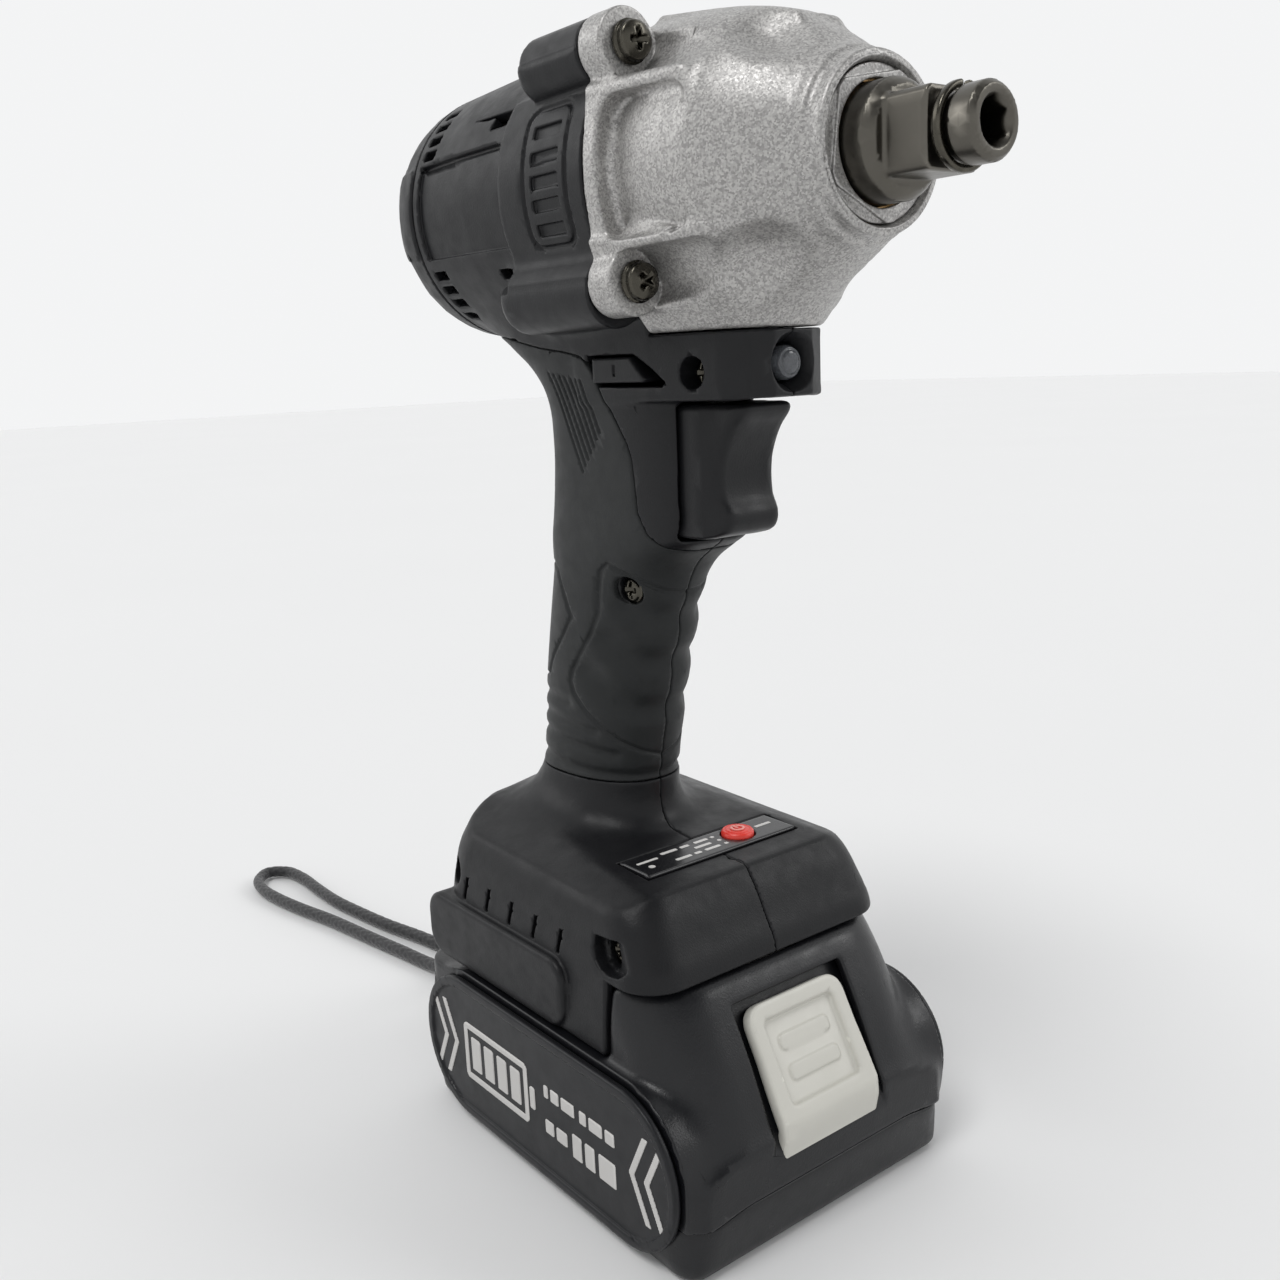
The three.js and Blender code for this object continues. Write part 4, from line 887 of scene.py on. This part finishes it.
def release_button(x, y, z):
    a = np.abs(y)
    u, v = slide(x, z)
    head = polygon(u, v, [(0.6, 0.0), (24.2, 0.0), (27.6, -1.6), (31.6, -5.0), (29.0, -6.6), (25, -3.2),
                          (0.6, -3.2)])
    wide = ramp(u, [12, 20, 26], [13.8, 14.7, 15.2])
    head = smax(head, a - wide, 1.6)
    corner = length(np.maximum(5.6 - u, 0), both(a - 8.8, 0)) - 5.0
    head = smax(head, corner, 1.0)
    head = sunk(head, both(rect(u, y, (4.4, -9.8), (21.6, 9.8), 1.2), -2 - v), 1.5, 0.9)
    head = raised(head, both(rect(u, y, (8.2, -7.0), (11.4, 7.0), 1.2), -3 - v), 0.45, 0.4)
    head = raised(head, both(rect(u, y, (14.4, -7.0), (17.6, 7.0), 1.2), -3 - v), 0.45, 0.4)
    arm = box(x, y, z, (33, -8, 37.3), (48.6, 8, 39.9), 0.4)
    hook = smax(polygon(x, z, [(32.5, 37.3), (35.1, 37.3), (35.3, 52.6), (34.4, 53.8), (33.5, 53.8),
                               (32.5, 52)]), a - 8, 0.3)
    return either(head, arm, hook)


def strap_anchor(x, y, z):
    f = rect(y, z, (-7.8, 41.2), (7.8, 48.8), 3)
    f = smax(f, within(x, -48.8, -44.2), 0.8)
    for sy in (-4.6, 4.6):
        f = cut(f, both(length(y - sy, z - 45) - 2.4, x + 48.0), 0.5)
    return f


# ---------------------------------------------------------------- materials

PLASTIC_SPREAD = 0.07  # of roughness, either way
CORNER = (0.53, 0.62)  # pointiness where the painted edge highlight starts, and where it is full


class Shader:
    """A node material whose colour, gloss and relief come from noise in the piece's own space."""

    def __init__(self, name):
        self.material = bpy.data.materials.new(name)
        self.material.use_nodes = True
        self.tree = self.material.node_tree
        self.bsdf = self.tree.nodes["Principled BSDF"]
        self.place = self.tree.nodes.new("ShaderNodeTexCoord").outputs["Object"]

    def node(self, kind, **settings):
        made = self.tree.nodes.new("ShaderNode" + kind)
        for key, value in settings.items():
            if key in made.inputs:
                made.inputs[key].default_value = value
            else:
                setattr(made, key, value)
        return made

    def link(self, source, target):
        self.tree.links.new(source, target)

    def noise(self, scale, detail=3.0, roughness=0.55, stretch=None):
        made = self.node("TexNoise", Scale=scale, Detail=detail, Roughness=roughness)
        self.link(self.stretched(stretch) if stretch else self.place, made.inputs["Vector"])
        return made.outputs["Fac"]

    def stretched(self, scale):
        made = self.node("Mapping")
        made.inputs["Scale"].default_value = scale
        self.link(self.place, made.inputs["Vector"])
        return made.outputs["Vector"]

    def spread(self, source, low, high, start=0.3, stop=0.7):
        made = self.node("MapRange")
        self.link(source, made.inputs["Value"])
        for key, value in (("From Min", start), ("From Max", stop), ("To Min", low), ("To Max", high)):
            made.inputs[key].default_value = value
        return made.outputs["Result"]

    def mix(self, factor, first, second):
        made = self.node("Mix", data_type="RGBA")
        self.link(factor, made.inputs[0])
        for socket, value in ((made.inputs[6], first), (made.inputs[7], second)):
            if isinstance(value, bpy.types.NodeSocket):
                self.link(value, socket)
            else:
                socket.default_value = (*value, 1)
        return made.outputs[2]

    def fixed(self, **values):
        """Sets uniform values on the shader's own sockets, with _ for each space in a name."""
        for key, value in values.items():
            self.bsdf.inputs[key.replace("_", " ")].default_value = value

    def colour(self, source):
        self.link(source, self.bsdf.inputs["Base Color"])

    def gloss(self, source):
        self.link(source, self.bsdf.inputs["Roughness"])

    def relief(self, *layers):
        """Bumps stacked one on another; each layer is (height socket, depth in metres)."""
        normal = None
        for height, depth in layers:
            bump = self.node("Bump", Distance=depth)
            self.link(height, bump.inputs["Height"])
            if normal:
                self.link(normal, bump.inputs["Normal"])
            normal = bump.outputs["Normal"]
        self.link(normal, self.bsdf.inputs["Normal"])

    def edge_highlight(self, base, edge, amount=0.6):
        """Base colour that turns to the lighter edge colour along sharp corners: a painted highlight on the
        edges.
        """
        point = self.node("NewGeometry").outputs["Pointiness"]
        return self.mix(self.spread(point, 0.0, amount, *CORNER), base, edge)


def tint(colour, by):
    return tuple(min(1.0, c * by) for c in colour)


def moulded(name, colour, rough, grain=0.00003, grain_scale=2600, mottle=0.12, sheen=0.0, specular=0.5):
    """Moulded plastic or rubber with a spark-eroded texture, faint handling marks and a painted highlight
    along its corners.
    """
    s = Shader(name)
    cloud = s.noise(70, 4)
    # painted edge highlight: the corners turn 1.7 times lighter than the plastic
    s.colour(s.edge_highlight(s.mix(cloud, tint(colour, 1 - mottle), tint(colour, 1 + mottle)),
                    tint(colour, 1.7), amount=0.35))
    s.gloss(s.spread(s.noise(240, 5), rough - PLASTIC_SPREAD, rough + PLASTIC_SPREAD))
    s.relief((s.noise(grain_scale, 2, 0.6), grain), (s.noise(420, 3), grain * 0.8))
    s.fixed(Specular_IOR_Level=specular)
    if sheen:
        s.fixed(Sheen_Weight=sheen, Sheen_Roughness=0.5)
    return s.material


def metal(name, colour, rough, streak=(1, 1, 1), spread=0.09, grain=0.00001, edge=1.5):
    """Machined, cast or blackened metal; streak stretches its marks along an axis, and edge lightens its
    corners as a painted highlight.
    """
    s = Shader(name)
    marks = s.noise(900, 4, 0.6, streak)
    stain = s.noise(90, 4)
    base = s.mix(stain, tint(colour, 0.82), tint(colour, 1.15))
    # painted edge highlight: the corners take the colour lightened by edge
    s.colour(s.edge_highlight(base, tint(colour, edge)))
    s.gloss(s.spread(marks, rough - spread, rough + spread))
    s.relief((marks, grain), (s.noise(260, 3), grain * 1.5))
    s.fixed(Metallic=1.0)
    return s.material


def flaked_paint(name):
    """Silver paint with coarse metal flakes over a cast skin, and a painted highlight along its corners."""
    s = Shader(name)
    flakes = s.node("TexVoronoi", Scale=3000.0)
    s.link(s.place, flakes.inputs["Vector"])
    shine = s.node("SeparateColor")
    s.link(flakes.outputs["Color"], shine.inputs["Color"])
    fleck = s.spread(shine.outputs["Red"], 0.0, 1.0, 0.1, 1.0)
    base = s.mix(fleck, (0.18, 0.176, 0.173), (0.64, 0.63, 0.61))
    soft = s.mix(s.noise(45, 3), (0.36, 0.352, 0.344), (0.40, 0.39, 0.38))
    blend = s.node("Mix", data_type="RGBA")
    blend.inputs[0].default_value = 0.5
    s.link(soft, blend.inputs[6])
    s.link(base, blend.inputs[7])
    # painted edge highlight: the corners turn pale grey
    s.colour(s.edge_highlight(blend.outputs[2], (0.5, 0.49, 0.48), amount=0.35))
    s.gloss(s.spread(shine.outputs["Green"], 0.40, 0.54, 0.0, 1.0))
    s.relief((shine.outputs["Blue"], 0.00001), (s.noise(900, 3, 0.6), 0.00001))
    s.fixed(Metallic=0.7, Coat_Weight=0.15, Coat_Roughness=0.22)
    return s.material


def plain(name, tones, first, second, shine, low, high, bumps, depth, **values):
    """Two tones, gloss and relief, each from its own noise of (scale, detail)."""
    s = Shader(name)
    s.colour(s.mix(s.noise(*tones), first, second))
    s.gloss(s.spread(s.noise(*shine), low, high))
    s.relief((s.noise(*bumps), depth))
    s.fixed(**values)
    return s.material


def board_material():
    s = Shader("circuit_board")
    tracks = s.node("TexBrick", Scale=220.0)
    s.link(s.place, tracks.inputs["Vector"])
    tracks.inputs["Color1"].default_value = (0.012, 0.10, 0.045, 1)
    tracks.inputs["Color2"].default_value = (0.016, 0.13, 0.06, 1)
    tracks.inputs["Mortar"].default_value = (0.03, 0.22, 0.09, 1)
    pads = s.spread(s.noise(500, 1), 0, 1, 0.60, 0.64)
    s.colour(s.mix(pads, tracks.outputs["Color"], (0.55, 0.52, 0.45)))
    s.gloss(s.spread(s.noise(700, 3), 0.25, 0.45))
    s.relief((tracks.outputs["Fac"], 0.00003))
    return s.material


def wrap_material():
    s = Shader("cell_wrap")
    s.colour(s.mix(s.spread(s.noise(30, 2), 0, 1), (0.02, 0.10, 0.33), (0.03, 0.14, 0.42)))
    s.gloss(s.spread(s.noise(400, 3), 0.22, 0.36))
    s.relief((s.noise(160, 2), 0.00003))
    return s.material


def winding_material():
    """Laminated steel in light and dark grey bands across its stacks."""
    s = Shader("magnet_steel")
    rings = s.node("TexWave", wave_type="BANDS", bands_direction="X", Scale=320.0, Distortion=0.4)
    s.link(s.place, rings.inputs["Vector"])
    s.colour(s.mix(s.spread(rings.outputs["Fac"], 0, 1), (0.10, 0.10, 0.11), (0.26, 0.26, 0.27)))
    s.gloss(s.spread(s.noise(500, 3), 0.35, 0.5))
    s.relief((rings.outputs["Fac"], 0.00003))
    s.fixed(Metallic=0.9)
    return s.material


looks = {
    "housing_plastic": moulded("housing_plastic", (0.0065, 0.0067, 0.0078), 0.42, grain=0.00004,
                               specular=0.27),
    "rubber": moulded("rubber", (0.0080, 0.0092, 0.0096), 0.54, grain=0.00003, grain_scale=3400,
                      sheen=0.06, specular=0.3),
    "silver_paint": flaked_paint("silver_paint"),
    "cast_alloy": metal("cast_alloy", (0.50, 0.49, 0.48), 0.42, grain=0.00003),
    "dark_steel": metal("dark_steel", (0.115, 0.108, 0.094), 0.33, (0.4, 1, 1), spread=0.05, edge=2.4),
    "black_steel": metal("black_steel", (0.075, 0.07, 0.058), 0.26, edge=3.5),
    "bright_steel": metal("bright_steel", (0.60, 0.60, 0.61), 0.24, (0.3, 1, 1)),
    "bronze": metal("bronze", (0.55, 0.36, 0.17), 0.38, grain=0.00003),
    "magnet": winding_material(),
    "clear_lens": plain("clear_lens", (200, 2), (0.14, 0.15, 0.165), (0.2, 0.21, 0.23), (600, 2), 0.03, 0.09,
                        (300, 2), 0.00001, Transmission_Weight=0.6, IOR=1.49),
    "red_plastic": moulded("red_plastic", (0.75, 0.045, 0.03), 0.36, grain=0.00001),
    "white_plastic": moulded("white_plastic", (0.56, 0.55, 0.50), 0.36, grain=0.00001, mottle=0.03),
    "laminate": plain("laminate", (150, 3), (0.006, 0.006, 0.007), (0.011, 0.011, 0.013),
                      (500, 4), 0.16, 0.28, (1200, 2), 0.000006),
    "circuit_board": board_material(),
    "cell_wrap": wrap_material(),
    "cord_fabric": plain("cord_fabric", (1500, 3), (0.006, 0.006, 0.007), (0.03, 0.03, 0.032),
                         (900, 2), 0.5, 0.75, (4200, 2), 0.00006, Sheen_Weight=0.3),
}
pack_plastic = moulded("pack_plastic", (0.0055, 0.0058, 0.0072), 0.33, grain=0.00004, grain_scale=2400,
                       specular=0.4)
label_gloss = moulded("label_field", (0.007, 0.0074, 0.009), 0.36, grain=0.00001, specular=0.3)
print_white = moulded("print_white", (0.50, 0.49, 0.475), 0.4, grain=0.00001, mottle=0.05)
ring_red = moulded("ring_red", (0.85, 0.30, 0.26), 0.4, grain=0.00001)

SLOT_OF = {part["node"]: part["material_slot"] for part in frame["record"]["subparts"]}
# painted shade: the gearbox plate gets dark steel instead of its silver paint, so the slots of the barrel
# that show it read dark
DARKENED_FOR_SHADE = {"gearbox_plate": "dark_steel"}  # seen only through the slots of the barrel
for node, part in nodes.items():
    part.data.materials.clear()
    part.data.materials.append(looks[DARKENED_FOR_SHADE.get(node, SLOT_OF[node])])


# ---------------------------------------------------------------- pieces of the housing and head

FINE, MEDIUM = 0.34, 0.5
for side, word in ((-1, "right"), (1, "left")):
    far, near = (-40, 1) if side < 0 else (-1, 40)
    shell = right_housing if side < 0 else half_of(housing, side)
    piece(f"housing_{word}", shell, (-46, far, 37), (52, near, 240), FINE + 0.06,
          "tool", "housing_plastic", f"{word}_housing")
    far, near = (-20, 1) if side < 0 else (-1, 20)
    piece(f"overmould_{word}", half_of(overmould, side), (-36, far, 82), (34, near, 184), FINE,
          "tool", "rubber")

piece("motor_cap", rear_cap, (-54, -28, 181), (-41, 28, 239), MEDIUM, "tool", "housing_plastic", "rear_cap")
piece("gear_case", hammer_case, (1, -30, 181), (72.5, 30, 240), FINE, "tool", "silver_paint", "hammer_case")
number = 0
for side in (-1, 1):
    for centre in BOSSES:
        number += 1
        cy, cz = side * centre[0], DRIVE_Z + centre[1]
        piece(f"case_bolt_{number}", case_screw(side, centre), (9.5, cy - 4.5, cz - 4.5),
              (37, cy + 4.5, cz + 4.5), 0.22, "tool", "black_steel", f"case_screw_{number}")

piece("drive_spindle", anvil, (40.5, -11.5, 189), (95, 11.5, 231), 0.3, "anvil", "dark_steel", "anvil")


def split_ring(x, y, z):
    h = z - DRIVE_Z
    f = rect(x, length(y, h), (86.9, 5.7), (88.5, 6.95), 0.5)
    return cut(f, both(np.abs(y) - 0.9, -h), 0.2)


def nose_insert(x, y, z):
    """Seal carrier inside the nose, with low wedge-shaped flats."""
    h = z - DRIVE_Z
    r = length(y, h)
    f = smax(both(r - 12.75, 10.25 - r), np.abs(x - 70.35) - 0.7, 0.2)
    flats = prism(y, h, np.arange(5) * 1.2566 + 0.5) - 10.9
    return smax(f, -both(-flats, 70.45 - x), 0.15)


piece("nose_insert", nose_insert, (69.4, -13, 197), (71.4, 13, 223), 0.22,
      "tool", "silver_paint", "nose_seal")
piece("ring_for_sockets", split_ring, (86.5, -7.5, 202), (89, 7.5, 218), 0.2,
      "anvil", "black_steel", "friction_ring")


def screw_in_housing(sx, sz, side):
    """A housing screw: its head faces the tool's right, at the bottom of its bore."""
    seat = side - 4.5

    def f(x, y, z):
        head = screw_head(x - sx, z - sz, -y - seat, 2.45, 1.9)
        shank = both(length(x - sx, z - sz) - 1.45, -y - seat - 0.3, y - side + 5.8)
        return smin(head, shank, 0.2)
    return f


BOX_ENDS = [5.5, 4.5, 27.5, 27.5]  # y at the left end of the box that each screw is meshed in
for i, ((sx, sz, side), box_end) in enumerate(zip(HOUSING_SCREWS, BOX_ENDS), 1):
    piece(f"body_screw_{i}", screw_in_housing(sx, sz, side), (sx - 3, -side, sz - 3),
          (sx + 3, box_end, sz + 3), 0.25, "tool", "black_steel", f"housing_screw_{i}")


# ---------------------------------------------------------------- controls


def lens(x, y, z):
    r = length(y, z - LAMP_Z)
    f = polygon(x, r, [(43.2, -9), (43.2, 3.2), (47.4, 3.2), (48.5, 2.7), (49.0, 1.6), (49.2, -9)]) - 0.08
    return groove(f, r - 2.35, 0.22, 0.15)


def lamp_chip(x, y, z):
    f = box(x, y, z, (41.2, -1.5, 173.5), (42.8, 1.5, 176.5), 0.2)
    return smin(f, length(x - 42.2, y, z - LAMP_Z) - 1.0, 0.3)


def mode_button(x, y, z):
    r = from_button(x, y)
    f = polygon(z, r, [(68.5, -9), (68.5, 3.6), (72.7, 3.6), (73.2, 3.2), (73.45, -9)]) - 0.1
    return groove(f, r - 2.9, 0.25, 0.2)


def ring_mark(x, y, z):
    r = from_button(x, y)
    flat = np.abs(z - 73.5) - 0.12
    ring = both(np.abs(r - 1.35) - 0.3, flat)
    ring = cut(ring, both(np.abs(y - BUTTON_Y) - 0.55, x - BUTTON_X), 0.1)
    return either(ring, both(rect(x, y, (17.7, 9.25), (19.7, 9.75), 0.1), flat))


def panel(x, y, z):
    f = box(x, y, z, (15.05, -20.4, 70.6), (25.25, 21.9, 72.25), 0.35)
    return cut(f, both(from_button(x, y) - 4.0, -z), 0.2)


def flat_marks(name, outlines, base, top):
    """Thin raised print: each outline, which runs anticlockwise, stands from base to top."""
    points, faces = [], []
    for outline in outlines:
        start, count = len(points), len(outline)
        points += [(*p, base) for p in outline] + [(*p, top) for p in outline]
        faces.append(tuple(start + count + i for i in range(count)))
        faces.append(tuple(start + i for i in reversed(range(count))))
        for i in range(count):
            j = (i + 1) % count
            faces.append((start + i, start + j, start + count + j, start + count + i))
    return add_mesh(name, points, faces, smooth=False)


BAR_STEPS = 3  # round each corner


def bar(u0, v0, u1, v1, r=0.25):
    """A rounded rectangle outline."""
    ring = []
    corners = ((u1 - r, v1 - r), (u0 + r, v1 - r), (u0 + r, v0 + r), (u1 - r, v0 + r))
    for start, (cu, cv) in enumerate(corners):
        for i in range(BAR_STEPS + 1):
            t = (start + i / BAR_STEPS) * math.pi / 2
            ring.append((cu + r * math.cos(t), cv + r * math.sin(t)))
    return ring


piece("work_lens", lens, (43, -3.5, 171.5), (49.5, 3.5, 178.5), 0.2, "tool", "clear_lens", "lamp_lens")
piece("lamp_chip", lamp_chip, (41, -2, 173), (43.4, 2, 177), 0.15, "tool", "white_plastic")
piece("trigger_lever", trigger, (-1.5, -9.5, 141), (44, 9.5, 168.2), 0.35,
      "trigger", "housing_plastic", "trigger")
piece("direction_slide", lever, (7, -15.8, 172), (24.5, 15.8, 177.6), 0.3,
      "direction_lever", "housing_plastic", "direction_lever")
piece("panel_plate", panel, (15, -20.6, 70.5), (25.5, 22.1, 72.5), 0.3, "tool", "laminate", "control_panel")
piece("mode_knob", mode_button, (15.7, 5.6, 68.3), (23.5, 13.4, 73.7), 0.2,
      "mode_button", "red_plastic", "mode_button")
piece("mode_ring", ring_mark, (17.5, 7.5, 73.3), (21.6, 11.5, 73.7), 0.1,
      "mode_button", "red_plastic", look=ring_red)
LEGEND = [(17.1, -11.0, 18.1, -6.6), (17.1, -5.6, 18.1, -3.2), (17.1, -1.6, 18.1, 2.2),
          (19.5, -3.4, 20.5, 1.2), (21.9, -10.6, 22.9, -6.4), (21.9, -5.4, 22.9, -3.6),
          (21.9, -2.4, 22.9, 1.8), (18.3, -18.4, 19.1, -12.8), (20.9, -17.4, 22.4, -15.9, 0.7),
          (19.1, 14.8, 20.1, 19.4)]
LEGEND += [(u - 0.45, 3.2, u + 0.45, 4.1, 0.2) for u in (17.6, 20.0, 22.4)]
place(flat_marks("panel_legend", [bar(*edges) for edges in LEGEND], 72.2, 72.31), "tool", "white_plastic",
      print_white)


# ---------------------------------------------------------------- battery pieces

piece("pack_top", pack_upper, (-46.5, -38, 11), (57.5, 38, 54.5), 0.42,
      "battery", "housing_plastic", "battery_upper_case", look=pack_plastic)
piece("pack_tray", pack_lower, (-46.5, -38, -0.2), (57.5, 38, 14), 0.45,
      "battery", "housing_plastic", "battery_lower_case", look=pack_plastic)
piece("pack_release", release_button, (32, -16, 17), (61, 16, 54.5), 0.34,
      "release_button", "white_plastic", "release_button")


LABEL_Z = 19.5  # middle of the label's height
# plain bars of the label: from, to, low, high
LABEL_BARS = [(u0, u1, 22, 25) for u0, u1 in (
    (9, 10.6), (11.6, 14.6), (15.6, 20.4), (22.2, 24.6), (25.6, 30.2), (31.2, 34.4))]
LABEL_BARS += [(9, 12.2, 13.6, 16.8), (13.2, 17.2, 13.6, 16.8), (19.2, 22.6, 12.6, 18.2),
               (23.8, 27.2, 12.6, 18.2), (28.6, 34.4, 12.6, 18.2)]


def label_plan(u, v):
    """Generic print for the pack's label: chevrons at the ends, a battery sign and plain bars."""
    middle = np.abs(v - LABEL_Z)
    f = np.full(np.shape(u), 99.0, np.float32)
    for tip, way in ((-33.2, 1), (-28.4, 1), (39.8, -1), (44.6, -1)):
        across = np.abs((tip - u) * way - middle * 0.5) * 0.894 - 0.75
        f = either(f, both(across, middle - 9.6))
    sign = rect(u, v, (-24.5, 12.3), (2.5, 26.7), 1.6)
    f = either(f, np.abs(sign + 0.8) - 0.8)
    f = either(f, rect(u, v, (3.3, 16.8), (5.2, 22.2), 0.6))
    for i in range(4):
        f = either(f, rect(u, v, (-21.4 + 5.6 * i, 15.3), (-17.4 + 5.6 * i, 23.7), 0.5))
    for u0, u1, v0, v1 in LABEL_BARS:
        f = either(f, rect(u, v, (u0, v0), (u1, v1), 0.45))
    return f


def label_print(side):
    return lambda x, y, z: both(label_plan(x, z), np.abs(y * side - 38.92) - 0.3)


for side, word in ((-1, "right"), (1, "left")):
    low, high = sorted((37.6 * side, 40 * side))
    piece(f"pack_label_{word}", plate(side), (-43, low, 1), (55, high, 38), 0.4,
          "battery", "rubber", f"battery_plate_{word}", look=label_gloss)
    piece(f"label_print_{word}", label_print(side), (-40, low, 8), (54, high, 31), 0.28,
          "battery", "white_plastic", look=print_white)

piece("cord_anchor", strap_anchor, (-49.2, -8.2, 40.8), (-44, 8.2, 49.2), 0.3,
      "tool", "housing_plastic", "strap_anchor")
strap.data.materials.append(looks["cord_fabric"])

# ---------------------------------------------------------------- floor and light

FLOOR_REACH, FLOOR_Z = 6000, -0.05
floor = add_mesh("floor", [(u * FLOOR_REACH, v * FLOOR_REACH, FLOOR_Z)
                           for u, v in ((-1, -1), (1, -1), (1, 1), (-1, 1))], [(0, 1, 2, 3)])
ground = Shader("floor")
ground.colour(ground.mix(ground.noise(3, 2), (0.79, 0.79, 0.79), (0.805, 0.805, 0.805)))
ground.gloss(ground.spread(ground.noise(5, 2), 0.75, 0.85))
floor.data.materials.append(ground.material)

world = bpy.data.worlds.new("studio")
bpy.context.scene.world = world
world.use_nodes = True
sky = world.node_tree


def sky_node(kind, **settings):
    node = sky.nodes.new("ShaderNode" + kind)
    for key, value in settings.items():
        setattr(node, key, value)
    return node


def sky_ramp(source, at_zero, at_one):
    """0 where source is at_zero, 1 where it is at_one, smooth between."""
    node = sky_node("MapRange", interpolation_type="SMOOTHSTEP")
    node.inputs["From Min"].default_value, node.inputs["From Max"].default_value = at_zero, at_one
    sky.links.new(source, node.inputs["Value"])
    return node.outputs["Result"]


# a bright backdrop behind the tool and low all round, a dimmer room on the side it is seen from
way = sky_node("TexCoord").outputs["Generated"]
behind = sky_node("VectorMath", operation="DOT_PRODUCT")
behind.inputs[1].default_value = (-0.75, 0.66, 0.0)
sky.links.new(way, behind.inputs[0])
height = sky_node("SeparateXYZ")
sky.links.new(way, height.inputs[0])
bright = sky_node("Math", operation="MAXIMUM")
sky.links.new(sky_ramp(behind.outputs["Value"], -0.15, 0.35), bright.inputs[0])
sky.links.new(sky_ramp(height.outputs["Z"], 0.68, 0.34), bright.inputs[1])
room = sky_node("Mix", data_type="RGBA")
room.inputs[6].default_value = (0.2, 0.204, 0.208, 1)
room.inputs[7].default_value = (0.90, 0.905, 0.91, 1)
sky.links.new(bright.outputs[0], room.inputs[0])
sky.links.new(room.outputs[2], sky.nodes["Background"].inputs["Color"])


def sun(name, at, strength, degrees):
    light = bpy.data.lights.new(name, "SUN")
    light.energy, light.angle = strength, math.radians(degrees)
    thing = bpy.data.objects.new(name, light)
    bpy.context.scene.collection.objects.link(thing)
    thing.location = at
    thing.rotation_mode = "QUATERNION"
    thing.rotation_quaternion = Vector(at).to_track_quat("Z", "Y")


sun("key", (0.1, -0.5, 0.95), 1.1, 24)
sun("side", (-0.6, -0.5, 0.45), 0.4, 30)
sun("rim", (0.6, 0.75, 0.6), 0.5, 24)
bpy.context.scene.view_settings.view_transform = "Standard"
